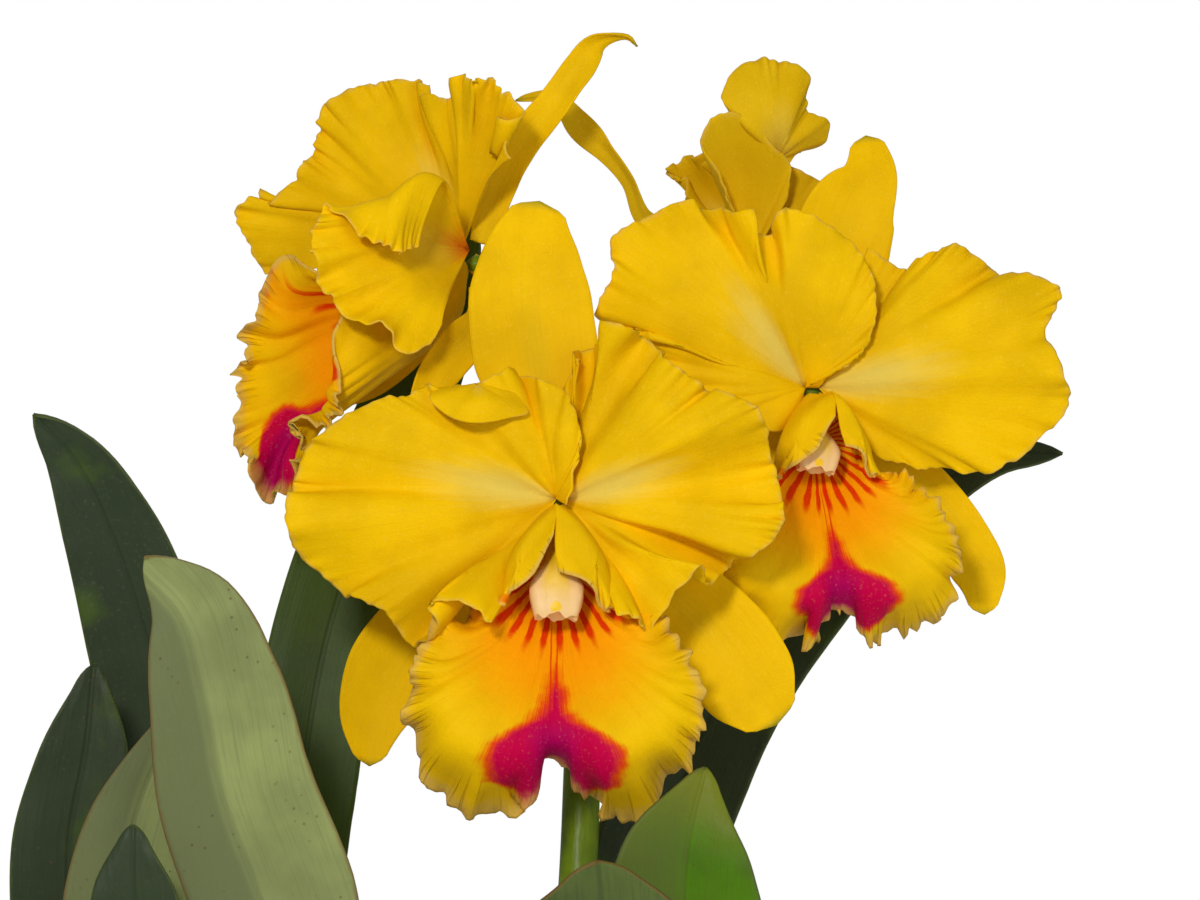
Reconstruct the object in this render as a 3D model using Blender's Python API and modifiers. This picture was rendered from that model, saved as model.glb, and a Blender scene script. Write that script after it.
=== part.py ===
"""A cattleya orchid in bloom, in a plain clay pot.

The plant stands in its own frame: the origin is the middle of the pot's foot, +Z is up, and the front
bloom faces -Y. All shapes below are given in millimetres in that frame and scaled to metres once.
"""
import math
import random

import bmesh
import bpy
import numpy as np
from mathutils import Vector

# Driving dimensions, in millimetres.
MM = 0.001
POT_HEIGHT = 116.0
POT_FOOT_RADIUS = 50.0
POT_BODY_RADIUS = 66.0
POT_RIM_RADIUS = 72.0
POT_RIM_HEIGHT = 26.0
POT_WALL = 6.0
POT_FLOOR = 8.0
POT_SIDES = 32
DRAIN_HOLES = 3
DRAIN_RADIUS = 7.0
DRAIN_CIRCLE = 28.0
BARK_LEVEL = 100.0
BARK_SLOTS = 186
BARK_SLOTS_EACH = 3
CHIP_ROOM = 8.5
GOLDEN_ANGLE = 2.39996
FIT_GAP = 0.45
# The inner wall steps in from the rim by this much at its top, and again at the shoulder.
RIM_STEP = 3.0
SEPAL_THICKNESS = 1.1
PETAL_THICKNESS = 1.0
LIP_THICKNESS = 1.0
LEAF_THICKNESS = 2.2
HUB_RADIUS = 3.0
CLAW_RADIUS = 2.4
RUFFLE_ROOM = 7.0
# The plant's outlines are given as seen from in front, drawn on the plane Y = 0. A point that lies behind
# that plane is spread away from the middle of the view, so that it still looks to be where it is drawn.
EYE_DISTANCE = 1600.0
EYE_MIDDLE = (47.6, 396.0)

# Linear base colours and roughness of each material.
MATERIALS = {
    "petal": ((0.93, 0.56, 0.012), 0.5),
    "lip": ((0.94, 0.42, 0.015), 0.5),
    "column": ((0.93, 0.67, 0.28), 0.4),
    "leaf": ((0.045, 0.11, 0.03), 0.4),
    "pale_leaf": ((0.24, 0.31, 0.08), 0.5),
    "stem": ((0.13, 0.22, 0.03), 0.45),
    "bulb": ((0.2, 0.27, 0.09), 0.5),
    "bark": ((0.17, 0.085, 0.04), 0.9),
    "clay": ((0.52, 0.21, 0.11), 0.85),
}

# Each bloom's hub: the top of the ovary, which the sepals, petals, lip and column spring from.
HUBS = {
    "front": (36.0, 2.0, 381.0),
    "right": (107.0, 40.0, 412.0),
    "left": (13.0, 52.0, 448.0),
    "rear": (92.0, 84.0, 452.0),
}

# A strap-shaped piece: its midline, its half-widths, its roll at each point in degrees, and its channel.
# The channel is how far the edges stand towards the viewer, as a share of the half-width.
SEPALS = {
    "front_dorsal_sepal": dict(
        line=[(36, 5, 385.5), (34, 10, 400), (30, 16, 420), (28, 18, 440), (29, 18, 455), (31, 16, 465.5)],
        half=[2.6, 9, 18, 17.5, 12.5, 6], roll=[0, 0, 0, 0, 0, 0], channel=0.12),
    "front_left_sepal": dict(
        line=[(32.5, 5.5, 378), (18, 12, 365), (2, 18, 351), (-11, 20, 334), (-16, 19, 320), (-17, 16, 307.5)],
        half=[2.6, 8, 12, 13, 10, 3], roll=[0, 0, 0, 0, 0, 0], channel=0.15),
    "front_right_sepal": dict(
        line=[(39.5, 5.5, 378), (54, 11, 366), (70, 12, 354), (83, 9, 340), (91, 5, 328), (97, 3, 319)],
        half=[2.6, 8, 13, 15, 14, 6], roll=[0, 0, 0, 0, 0, 0], channel=0.12),
    "right_dorsal_sepal": dict(
        line=[(107.5, 43.5, 416.5), (111, 52, 433), (114, 58, 450), (118, 60, 463), (123, 59, 474), (122, 56, 484)],
        half=[2.6, 9, 15, 13.5, 8, 4], roll=[0, 0, 0, 0, -5, 0], channel=0.15),
    "right_left_sepal": dict(
        line=[(103.6, 42, 408), (97, 49, 396), (92, 53, 380), (90, 53, 364), (91, 50, 350)],
        half=[2.6, 8, 10, 9, 2.5], roll=[0, 0, 0, 0, 0], channel=0.15),
    "right_right_sepal": dict(
        line=[(110.5, 43.5, 409), (124, 51, 397), (138, 54, 384), (148, 54, 372), (154, 53, 361), (155, 50, 350)],
        half=[2.6, 8, 9, 8.5, 8, 3], roll=[0, 0, 0, 0, 0, 0], channel=0.15),
    "left_dorsal_sepal": dict(
        line=[(14, 56, 454), (17, 60, 463), (21, 60, 474), (27, 57, 484), (35, 54, 493), (42, 53, 503),
              (47, 54, 510.5), (52, 55, 512), (56, 56, 511.5), (58, 56, 509)],
        half=[2.6, 5, 5.2, 5, 5, 4.8, 3.4, 1.6, 1.2, 0.8],
        roll=[0, 10, 0, -25, 15, 20, -35, -60, -60, -60], channel=0.3),
    "left_near_sepal": dict(
        line=[(13.5, 47, 441.5), (14, 39, 433), (8, 30, 425), (1, 24, 416), (-5, 20, 405)],
        half=[2.4, 4, 6.5, 6, 2], roll=[0, 0, 10, 10, 0], channel=0.3),
    "left_far_sepal": dict(
        line=[(8.5, 57, 444.5), (1, 60, 434), (-9, 61, 424), (-18, 60, 416), (-27, 58, 409)],
        half=[2.4, 6, 7.5, 6.5, 2], roll=[0, 0, 0, 0, 0], channel=0.2),
    "rear_left_sepal": dict(
        line=[(87, 87, 455), (78, 88, 458), (68, 86, 457), (60, 82, 461), (56, 80, 471), (49, 79, 480),
              (41, 78, 487), (34, 78, 494), (24, 78, 494)],
        half=[2.4, 3.5, 3.5, 2.6, 2.4, 3.2, 4.6, 3, 1.2],
        roll=[0, 0, 0, 25, 40, 30, -20, -50, -65], channel=0.35),
    "rear_right_sepal": dict(
        line=[(96.5, 87, 455), (105, 93, 458), (113, 98, 457), (120, 101, 451), (125, 102, 443)],
        half=[2.4, 6, 8, 6, 2], roll=[0, 0, 0, 0, 0], channel=0.2),
    "rear_lower_sepal": dict(
        line=[(93.5, 82.5, 445.5), (91, 80, 434), (87, 80, 418), (85, 81, 402), (85, 82, 388)],
        half=[2.4, 7, 9, 7, 2], roll=[0, 0, 0, 0, 0], channel=0.2),
}

# A broad petal: its claw, and its margin from one side of the claw round to the other. Its cup is how far
# it bows along Y between the claw and the margin, at even steps along the margin.
PETALS = {
    "front_left_petal": dict(
        claw=(32.6, -0.5, 383), cup=[0, -3, -4, -4, -3, -3, -2, 2, 5], waves=5, ruffle=1.7, phase=0.4,
        margin=[(41, -7, 391), (41.5, -8, 402), (35, -5, 413), (25, -2, 419), (14, -8, 415),
                (0, -3, 413), (-12, -6, 411), (-24, -5, 406), (-33, -4, 398), (-39, -6, 387),
                (-40, -9, 376), (-36, -9, 365), (-26, -7, 357), (-14, -10, 350), (-5, -17, 345),
                (4, -23, 346), (13.5, -25, 348)]),
    "front_right_petal": dict(
        claw=(39.6, -0.5, 383), cup=[0, -2, -4, -4, -3, -3, -2, 1, 5], waves=5, ruffle=1.7, phase=2.2,
        margin=[(36.5, 2, 412), (45, 3, 426), (57, -1, 428), (66, -11, 422),
                (78, -13, 413), (92, -12, 407), (96, -10, 393), (99, -12, 376), (90, -11, 366),
                (78, -10, 358), (69, -14, 353), (64, -21, 349), (58.5, -25, 350)]),
    "right_left_petal": dict(
        claw=(103.2, 37.5, 413.5), cup=[0, -4, -6, -6, -6, -5, -4, -3, 0], waves=5, ruffle=1.7, phase=1.0,
        margin=[(98, 36, 408), (86, 32, 408), (72, 30, 414), (60, 28, 425), (46.5, 26, 434), (51, 25, 446),
                (51, 27, 455), (61, 29, 461), (73, 30, 466), (84, 28, 463), (93, 20, 455), (98, 24, 465),
                (110, 29, 460), (120, 31, 452), (125, 31, 438), (122, 29, 425), (112, 31, 417),
                (108.5, 34.5, 413)]),
    "right_right_petal": dict(
        claw=(110.6, 37.5, 413.5), cup=[0, -2, -4, -4, -4, -3, -2, 0, 0], waves=5, ruffle=1.9, phase=0.2,
        margin=[(122, 44, 452), (133, 42, 446), (148, 38, 453),
                (158, 36, 448), (177, 34, 440), (172, 33, 429), (179, 35, 410), (172, 36, 400),
                (160, 35, 391), (148, 36, 391)]),
    "left_far_petal": dict(
        claw=(8.5, 58, 452), cup=[0, 2, -2, -4, -4, -3, -2, 0, 0], waves=6, ruffle=2.0, phase=0.9,
        margin=[(-47, 69, 445), (-54, 68, 464), (-38, 66, 470),
                (-33, 65, 480), (-32, 64, 488), (-17, 61, 499), (0, 54, 498), (6, 45, 494), (9, 36, 501),
                (18, 32, 497), (23, 32, 491), (18, 36, 481)]),
    "rear_left_petal": dict(
        claw=(88, 82, 454.5), cup=[0, 2, 2, 2, 0], waves=4, ruffle=1.4, phase=0.5,
        margin=[(81, 77, 456), (71, 81, 464), (66, 88, 476), (72, 88, 479), (78, 82, 480), (76, 74, 486),
                (83, 70, 491), (91, 70, 487), (94, 73, 477)]),
    "rear_right_petal": dict(
        claw=(95, 81, 455.5), cup=[0, -2, -4, -4, 0], waves=5, ruffle=1.6, phase=1.4,
        margin=[(80.5, 64, 491.5), (84, 60, 502), (95, 62, 506), (104, 66, 504),
                (108, 70, 497), (108, 73, 491), (112, 76, 488), (111, 78, 482), (109, 80, 477),
                (109, 82, 471), (107, 82, 464)]),
}

# The left bloom's near petal folds over, so it also has a middle row, point for point with its margin.
FOLDED_PETAL = dict(
    claw=(11.0, 46.5, 452), waves=5, ruffle=1.2, phase=0.0,
    middle=[(4, 24, 471), (-2, 20, 473), (-9, 18, 467), (-14, 18, 464), (-16, 18, 460),
            (-13, 19, 453), (-9, 19, 446), (-4, 20, 441), (1, 22, 439), (6, 28, 441)],
    margin=[(-3, 14, 454), (-9, 9, 451), (-17, 6, 454), (-27, 7, 463), (-33, 8, 460),
            (-33, 8, 448), (-26, 6, 438), (-15, 4, 432), (-5, 6, 423), (3, 16, 432)],
)

# One side of the lip as rings from its foot to its margin, from the slit on top to the middle of its floor.
# Each point is across, forward and down from the hub, with the tube pitched as on the front bloom.
LIP_RINGS = [
    [(1.2, 4.4, 0.2), (2.2, 4, 0.9), (3, 3.5, 1.8), (3.3, 3.2, 2.7), (3.2, 3, 3.3), (2.8, 2.8, 3.8),
     (2.3, 2.6, 4.1), (1.8, 2.5, 4.3), (1.2, 2.5, 4.4), (0.6, 2.4, 4.5), (0, 2.4, 4.5)],
    [(1.3, 9, 1), (5, 10, 4), (8.5, 9, 8), (10, 7.5, 13), (10, 6.5, 16), (9, 5.5, 19), (7.6, 4.8, 21),
     (5.8, 4, 22.4), (4, 3.6, 23.2), (2, 3.4, 23.6), (0, 3.3, 23.6)],
    [(1.2, 13, 0), (7.5, 17, 8), (13, 16.5, 15), (14.5, 15, 23), (14.5, 14, 29), (14, 14.5, 34),
     (12.6, 15.5, 38), (10, 16, 41), (7, 16, 43), (3.6, 16, 44), (0, 16, 44)],
    [(1.2, 15, 0), (4.5, 20, 11), (11, 21.5, 18), (15.5, 19.5, 27), (22, 16.5, 33), (28, 21, 43), (30, 25, 52),
     (27, 27, 62), (18, 28, 68), (9, 27, 67), (0, 26, 63)],
    [(1.2, 16, 0), (1.2, 21.5, 13), (8, 24, 18.5), (15, 20.5, 28.5), (26, 11.5, 29.5), (38, 19, 42), (41, 21, 58),
     (36, 15, 73), (24, 11, 86), (12, 14, 87), (0, 19, 73)],
]
# The left bloom's lip is seen from its side. Its last three rings are drawn as seen, from one edge of the slit,
# round the far half, its floor and the near half, to the other edge.
SIDE_LIP_RINGS = [
    [(-12, 36, 447), (-18, 40, 444), (-24, 43, 437), (-27, 43, 428), (-26, 40, 419), (-22, 33, 413),
     (-18, 26, 412), (-16, 22, 416), (-15, 20, 423), (-14, 21, 432), (-10, 26, 441)],
    [(-26, 30, 444), (-36, 33, 443), (-40, 36, 434), (-43, 36, 420), (-43, 31, 406), (-40, 25, 399),
     (-34, 18, 400), (-30, 14, 406), (-27, 13, 414), (-25, 15, 424), (-19, 20, 437)],
    [(-31, 28, 446), (-42, 31, 450), (-48, 34, 438), (-54, 31, 418), (-54, 25, 400), (-47, 17, 384),
     (-36, 9, 390), (-30, 6, 402), (-25, 9, 411), (-27, 13, 427), (-23, 18, 438)],
]
# Each lip's turn about the upright, pitch up, lean, size and depth, each side's share of the width, and the
# size of the column inside it.
LIPS = {
    "front": dict(turn=0, pitch=0, lean=-1, size=1.0, depth=1.15, left=1.0, right=1.0, column=1.0),
    "right": dict(turn=8, pitch=0, lean=9, size=0.86, depth=1.2, left=0.75, right=1.05, column=0.86),
    "left": dict(turn=-60, pitch=15, lean=0, size=0.85, depth=1.3, left=0.85, right=0.55, column=0.5,
                 rings=SIDE_LIP_RINGS),
    "rear": dict(turn=165, pitch=20, lean=0, size=0.85, depth=1.2, left=0.85, right=0.85, column=0.85),
}
LIP_WAVES = 9
LIP_RUFFLE = 1.5

# The column's line, forward and down from the hub, and its radius; the last points swell into the anther cap.
COLUMN_LINE = [(0, 3.6, 2.7), (0, 6.6, 6.4), (0, 10.5, 13), (0, 13.8, 19), (0, 16, 23), (0, 17.8, 26.5),
               (0, 19, 29.5), (0, 19.4, 31.5)]
COLUMN_RADII = [1.3, 2.4, 3.2, 4.6, 6.6, 7.2, 6.0, 2.4]

# Each leaf: its midline from its foot to its tip, its half-widths, its roll and its channel.
LEAVES = {
    "leaf_far_left": dict(
        line=[(-57, 20, 213), (-60, 20, 240), (-70, 19, 290), (-80, 18, 345), (-89, 17, 372), (-100, 16, 394),
              (-111, 14, 406)],
        half=[4, 11, 17, 17, 14, 9, 1.5], roll=[0, 0, 0, 0, 0, 0, 0], channel=0.18),
    "leaf_left": dict(
        line=[(-67, -10, 209.2), (-84, -14, 225), (-99, -18, 255), (-101, -19, 285), (-96, -18, 315),
              (-94, -16, 336.5)],
        half=[4, 11, 16, 16, 12, 1.5], roll=[0, 0, 0, 0, 0, 0], channel=0.16),
    "leaf_pale_front": dict(
        line=[(-28, -47, 209), (-32, -51, 235), (-43, -54, 270), (-54, -55, 300), (-60, -54, 330),
              (-67, -52, 352), (-80, -49, 366)],
        half=[4, 16, 22.5, 21.5, 18.5, 13, 1.5], roll=[0, 0, 0, 0, 0, 0, 0], channel=0.2),
    "leaf_pale_rear": dict(
        line=[(-58, -32, 208.6), (-74, -35, 232), (-83, -37, 262), (-79, -37, 290), (-70, -35, 315),
              (-63, -33, 332)],
        half=[4, 14, 20, 17, 9, 1.5], roll=[0, 0, 0, 0, 0, 0], channel=0.14),
    "leaf_small_front": dict(
        line=[(-55, -60, 208.2), (-68, -68, 228), (-80, -76, 252), (-83, -78, 273), (-83, -77, 291)],
        half=[4, 10, 13.5, 11.5, 1.5], roll=[0, 0, 0, 0, 0], channel=0.16),
    "leaf_behind": dict(
        line=[(-36, 30, 216), (-38, 42, 250), (-36, 56, 300), (-29, 64, 343), (-20, 67, 372), (-8, 69, 404),
              (5, 69, 438), (12, 67, 463)],
        half=[4, 12, 16, 16, 16, 14, 10, 2], roll=[0, 0, 0, 0, 0, 0, 0, 0], channel=0.16),
    "leaf_arching": dict(
        line=[(46, 12, 213), (54, 26, 245), (67, 48, 295), (86, 66, 335), (112, 74, 364), (140, 76, 385),
              (160, 74, 394), (177, 70, 395)],
        half=[4, 14, 19, 18.5, 15, 10, 6, 2], roll=[0, 0, 0, 0, 10, 25, 35, 30], channel=0.2),
    "leaf_front_right": dict(
        line=[(58, -28, 207), (65, -33, 232), (70, -36, 262), (72, -37, 286), (77, -35, 307)],
        half=[4, 18, 24, 17, 1.5], roll=[0, 0, 0, 0, 0], channel=0.22),
    "leaf_front_low": dict(
        line=[(44, -44, 206.8), (46, -54, 228), (48, -64, 250), (48, -72, 268), (47, -78, 281)],
        half=[4, 17, 25, 22, 4], roll=[0, 0, 0, 0, 0], channel=0.16),
}
PALE_LEAVES = ("leaf_pale_front", "leaf_pale_rear")

# Each pseudobulb: its foot on the rhizome and its tip under a leaf.
BULBS = [
    ((-43, 14), (-57, 20, 212)),
    ((-45, -8), (-67, -10, 206)),
    ((-11, -36), (-28, -47, 208)),
    ((-37, -23), (-58, -32, 206)),
    ((-27, -37), (-55, -60, 206)),
    ((-22, 18), (-36, 30, 215)),
    ((20, 6), (41, 7, 212)),
    ((36, -18), (58, -28, 206)),
    ((22, -34), (44, -44, 205)),
]
BULB_RADII = [4.5, 8.5, 10.5, 11, 10, 7.5, 4.8]
BULB_BOW = -3.0
# The rhizome's creeping lines, each through the feet of the bulbs that it joins.
RHIZOMES = [
    [(-45, -12), (-45, -8), (-43, 14), (-22, 18), (0, 12), (20, 6), (36, -18), (38, -24)],
    [(-27, -37), (-37, -23), (-45, -8)],
    [(-30, -38), (-27, -37), (-11, -36), (22, -34), (36, -18)],
]
RHIZOME_RADIUS = 5.5

# The flower stem and the four stalks that leave it, with the radius at each point.
STEM_LINE = [(36, 3, 214.3), (38, 7, 240), (41, 13, 270), (42.5, 22, 305), (43, 34, 345), (46, 44, 380),
             (51, 50, 402)]
STEM_RADII = [5.2, 5.4, 5.4, 5.2, 4.8, 4.4, 3.6]
STALKS = {
    "front": ([(45, 42, 374), (42, 30, 380), (38, 16, 382)], [3.0, 3.0, 3.4]),
    "right": ([(48, 47, 392), (64, 56, 402), (86, 58, 409), (100, 51, 411)], [3.0, 2.8, 3.0, 3.4]),
    "left": ([(50, 50, 400), (40, 58, 418), (28, 60, 434), (19, 56, 443)], [3.0, 2.8, 3.0, 3.4]),
    "rear": ([(50, 50, 400), (62, 60, 422), (78, 68, 440), (88, 76, 448)], [3.0, 2.8, 3.0, 3.4]),
}
SHEATH = dict(
    line=[(34.5, 12.5, 215), (37, 17.5, 232), (40, 22.5, 250), (43, 28, 268)],
    half=[4, 7, 6.5, 1.2], roll=[0, 0, 0, 0], channel=0.7)


def clear_scene():
    """Removes every object and collection that the file starts with."""
    for obj in list(bpy.data.objects):
        bpy.data.objects.remove(obj)
    for collection in list(bpy.data.collections):
        bpy.data.collections.remove(collection)


def new_collection(name):
    collection = bpy.data.collections.new(name)
    bpy.context.scene.collection.children.link(collection)
    return collection


def make_materials():
    """One Principled material for each finish."""
    made = {}
    for name, (colour, roughness) in MATERIALS.items():
        material = bpy.data.materials.new(name)
        material.use_nodes = True
        shader = material.node_tree.nodes["Principled BSDF"]
        shader.inputs["Base Color"].default_value = (*colour, 1)
        shader.inputs["Roughness"].default_value = roughness
        material.diffuse_color = (*colour, 1)
        made[name] = material
    return made


def through(points, where, even=False):
    """Places on the smooth curve through the points, where 0 is the first point and 1 the last.

    The curve's own measure is chord length, or the points' count when even is set.
    """
    points = np.asarray(points, float)
    if points.ndim == 1:
        points = points[:, None]
    steps = np.ones(len(points) - 1) if even else np.linalg.norm(np.diff(points, axis=0), axis=1)
    knots = np.concatenate([[0], np.cumsum(np.maximum(steps, 1e-6))])
    knots /= knots[-1]
    slopes = np.gradient(points, knots, axis=0)
    where = np.clip(np.asarray(where, float), 0, 1)
    left = np.clip(np.searchsorted(knots, where, side="right") - 1, 0, len(points) - 2)
    span = (knots[left + 1] - knots[left])[:, None]
    x = ((where - knots[left])[:, None]) / span
    return (
        (2 * x**3 - 3 * x**2 + 1) * points[left]
        + (x**3 - 2 * x**2 + x) * span * slopes[left]
        + (3 * x**2 - 2 * x**3) * points[left + 1]
        + (x**3 - x**2) * span * slopes[left + 1]
    )


def seen(points):
    """Places in the plant's frame for points that are given as seen from in front."""
    points = np.array(points, float)
    spread = 1 + points[..., 1] / EYE_DISTANCE
    points[..., 0] = EYE_MIDDLE[0] + (points[..., 0] - EYE_MIDDLE[0]) * spread
    points[..., 2] = EYE_MIDDLE[1] + (points[..., 2] - EYE_MIDDLE[1]) * spread
    return points


def unit(vectors):
    return vectors / np.maximum(np.linalg.norm(vectors, axis=-1, keepdims=True), 1e-9)


def normals_of(grid):
    """The surface normals of a grid of points."""
    return unit(np.cross(np.gradient(grid, axis=0), np.gradient(grid, axis=1)))


def ruffled(grid, depth, waves, phase):
    """The grid with waves across its last rows, which are the margin, dying out towards its foot.

    They are lower where the last rows lie close together.
    """
    rows, columns = grid.shape[:2]
    s = np.linspace(0, 1, rows)[:, None, None]
    t = np.linspace(0, 1, columns)[None, :, None]
    room = np.linalg.norm(grid[-1] - grid[round(0.75 * (rows - 1))], axis=-1)
    ends = np.sin(math.pi * np.clip(t, 0.02, 0.98)) ** 0.4 * np.clip(room / RUFFLE_ROOM, 0, 1)[None, :, None]
    swell = np.sin(2 * math.pi * waves * t + phase) + 0.35 * np.sin(5.1 * math.pi * waves * t + 2 * phase)
    return grid + normals_of(grid) * depth * s**2.2 * ends * swell


def petal_grid(piece, rows, columns):
    """Points of a broad petal: rays from its claw to its margin, cupped in the middle and ruffled."""
    s = np.linspace(0, 1, rows)[:, None, None]
    t = np.linspace(0, 1, columns)
    claw = seen(piece["claw"])
    margin = through(seen(piece["margin"]), t)
    foot = claw + CLAW_RADIUS * unit(margin - claw)
    cup = np.zeros((1, columns, 3))
    cup[0, :, 1] = through(piece["cup"], t, even=True)[:, 0]
    grid = foot + (margin - foot) * s + cup * np.sin(math.pi * s**0.8)
    return ruffled(grid, piece["ruffle"], piece["waves"], piece["phase"])


def rows_through(rings, s):
    """A grid of points on the smooth surface through the rings, which have equal numbers of points."""
    rings = np.asarray(rings, float)
    flat = rings.reshape(len(rings), -1)
    return through(flat, s, even=True).reshape(len(s), -1, 3)


def folded_grid(piece, rows, columns):
    """Points of a petal that folds over, through its claw, its middle row and its margin."""
    t = np.linspace(0, 1, columns)
    claw = seen(piece["claw"])
    middle, margin = (through(seen(piece[row]), t, even=True) for row in ("middle", "margin"))
    foot = claw + CLAW_RADIUS * unit(middle - claw)
    rings = [foot, middle, margin]
    grid = rows_through(rings, np.linspace(0, 1, rows))
    return ruffled(grid, piece["ruffle"], piece["waves"], piece["phase"])


def strap_grid(piece, rows, columns):
    """Points of a strap-shaped piece, such as a sepal or a leaf, with its edges as the outer columns."""
    where = np.linspace(0, 1, rows)
    drawn = seen(piece["line"])
    line = through(drawn, where)
    chords = np.linalg.norm(np.diff(drawn, axis=0), axis=1)
    marks = np.concatenate([[0], np.cumsum(chords)]) / chords.sum()
    half = np.interp(where, marks, piece["half"])
    half = 0.5 * half + 0.25 * (np.interp(where - 0.05, marks, piece["half"])
                                + np.interp(where + 0.05, marks, piece["half"]))
    half[-1] = piece["half"][-1]
    roll = np.radians(np.interp(where, marks, piece["roll"]))[:, None]
    along = unit(np.gradient(line, axis=0))
    facing = np.array([0.0, -1.0, 0.0])
    side = unit(np.cross(along, facing))
    face = np.cross(side, along)
    side, face = side * np.cos(roll) + face * np.sin(roll), face * np.cos(roll) - side * np.sin(roll)
    v = np.linspace(-1, 1, columns)[None, :, None]
    half = half[:, None, None]
    lift = piece["channel"] * half * (np.abs(v) ** 1.5)
    return line[:, None] + side[:, None] * v * half + face[:, None] * lift


def turned(points, lip, hub):
    """Points given across, forward and down from the hub, set in the plant's frame for one bloom."""
    across, forward, down = np.moveaxis(np.asarray(points, float), -1, 0)
    forward = forward * lip["depth"]
    share = np.where(across < 0, lip["left"], lip["right"])
    x, y, z = across * share * lip["size"], -forward * lip["size"], -down * lip["size"]
    pitch, turn, lean = (math.radians(lip[name]) for name in ("pitch", "turn", "lean"))
    y, z = y * math.cos(pitch) + z * math.sin(pitch), z * math.cos(pitch) - y * math.sin(pitch)
    x, z = x * math.cos(lean) - z * math.sin(lean), z * math.cos(lean) + x * math.sin(lean)
    x, y = x * math.cos(turn) - y * math.sin(turn), y * math.cos(turn) + x * math.sin(turn)
    return np.stack([x, y, z], axis=-1) + seen(hub)


def lip_grid(lip, hub, rows, columns):
    """Points of the lip: both sides of its rings, from one edge of the slit round to the other."""
    rings = []
    for ring in LIP_RINGS:
        right = np.asarray(ring, float)
        left = right[:-1] * (-1, 1, 1)
        both = np.concatenate([left, right[::-1]])
        rings.append(turned(through(both, np.linspace(0, 1, columns), even=True), lip, hub))
    if "rings" in lip:
        drawn = [through(seen(ring), np.linspace(0, 1, columns), even=True) for ring in lip["rings"]]
        rings[-len(drawn):] = drawn
    grid = rows_through(rings, np.linspace(0, 1, rows))
    return ruffled(grid, LIP_RUFFLE, LIP_WAVES, 0.6)


def add_sheet(name, grid, thickness, material, collection):
    """A thin solid from a grid of points, split into triangles alike on both faces."""
    rows, columns = grid.shape[:2]
    mesh = bpy.data.meshes.new(name)
    shape = bmesh.new()
    bmesh.ops.create_grid(shape, x_segments=columns - 1, y_segments=rows - 1, size=1)
    for vertex in shape.verts:
        column = round((vertex.co.x + 1) / 2 * (columns - 1))
        row = round((vertex.co.y + 1) / 2 * (rows - 1))
        vertex.co = Vector(grid[row, column]) * MM
    bmesh.ops.triangulate(shape, faces=shape.faces[:])
    shape.to_mesh(mesh)
    shape.free()
    mesh.shade_smooth()
    mesh.materials.append(material)
    obj = bpy.data.objects.new(name, mesh)
    collection.objects.link(obj)
    shell = obj.modifiers.new("thickness", "SOLIDIFY")
    shell.thickness = thickness * MM
    shell.offset = 0
    return obj


def tube_mesh(name, points, radii, sides):
    """A round tube along the points, its radius given at each, as a closed mesh object."""
    curve = bpy.data.curves.new(name, "CURVE")
    curve.dimensions = "3D"
    curve.bevel_depth = MM
    curve.bevel_resolution = max(0, sides // 2 - 2)
    curve.use_fill_caps = True
    spline = curve.splines.new("POLY")
    spline.points.add(len(points) - 1)
    for point, place, radius in zip(spline.points, points, radii):
        point.co = (*(Vector(place) * MM), 1)
        point.radius = radius
    guide = bpy.data.objects.new(name + "_guide", curve)
    bpy.context.scene.collection.objects.link(guide)
    bpy.context.view_layer.update()
    graph = bpy.context.evaluated_depsgraph_get()
    mesh = bpy.data.meshes.new_from_object(guide.evaluated_get(graph))
    shape = bmesh.new()
    shape.from_mesh(mesh)
    bmesh.ops.remove_doubles(shape, verts=shape.verts[:], dist=0.00002)
    bmesh.ops.recalc_face_normals(shape, faces=shape.faces[:])
    shape.to_mesh(mesh)
    shape.free()
    bpy.data.objects.remove(guide)
    mesh.name = name
    return bpy.data.objects.new(name, mesh)


def smooth_tube(name, line, radii, count, sides):
    """A tube along the smooth curve through a few points."""
    where = np.linspace(0, 1, count)
    points = through(line, where)
    return tube_mesh(name, points, through(radii, where, even=True)[:, 0], sides)


def join_all(base, others, collection):
    """Unites the base with the others by Boolean union and removes the others."""
    group = bpy.data.collections.new(base.name + "_joined")
    bpy.context.scene.collection.children.link(group)
    for obj in others:
        group.objects.link(obj)
    if base.name not in collection.objects:
        collection.objects.link(base)
    union = base.modifiers.new("join", "BOOLEAN")
    union.operation = "UNION"
    union.operand_type = "COLLECTION"
    union.collection = group
    union.solver = "EXACT"
    bpy.context.view_layer.update()
    graph = bpy.context.evaluated_depsgraph_get()
    mesh = bpy.data.meshes.new_from_object(base.evaluated_get(graph))
    base.modifiers.clear()
    base.data = mesh
    for obj in others:
        bpy.data.objects.remove(obj)
    bpy.data.collections.remove(group)
    return base


def finish_mesh(obj, material):
    obj.data.materials.clear()
    obj.data.materials.append(material)
    obj.data.shade_smooth()
    obj.data.set_sharp_from_angle(angle=math.radians(50))


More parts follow.
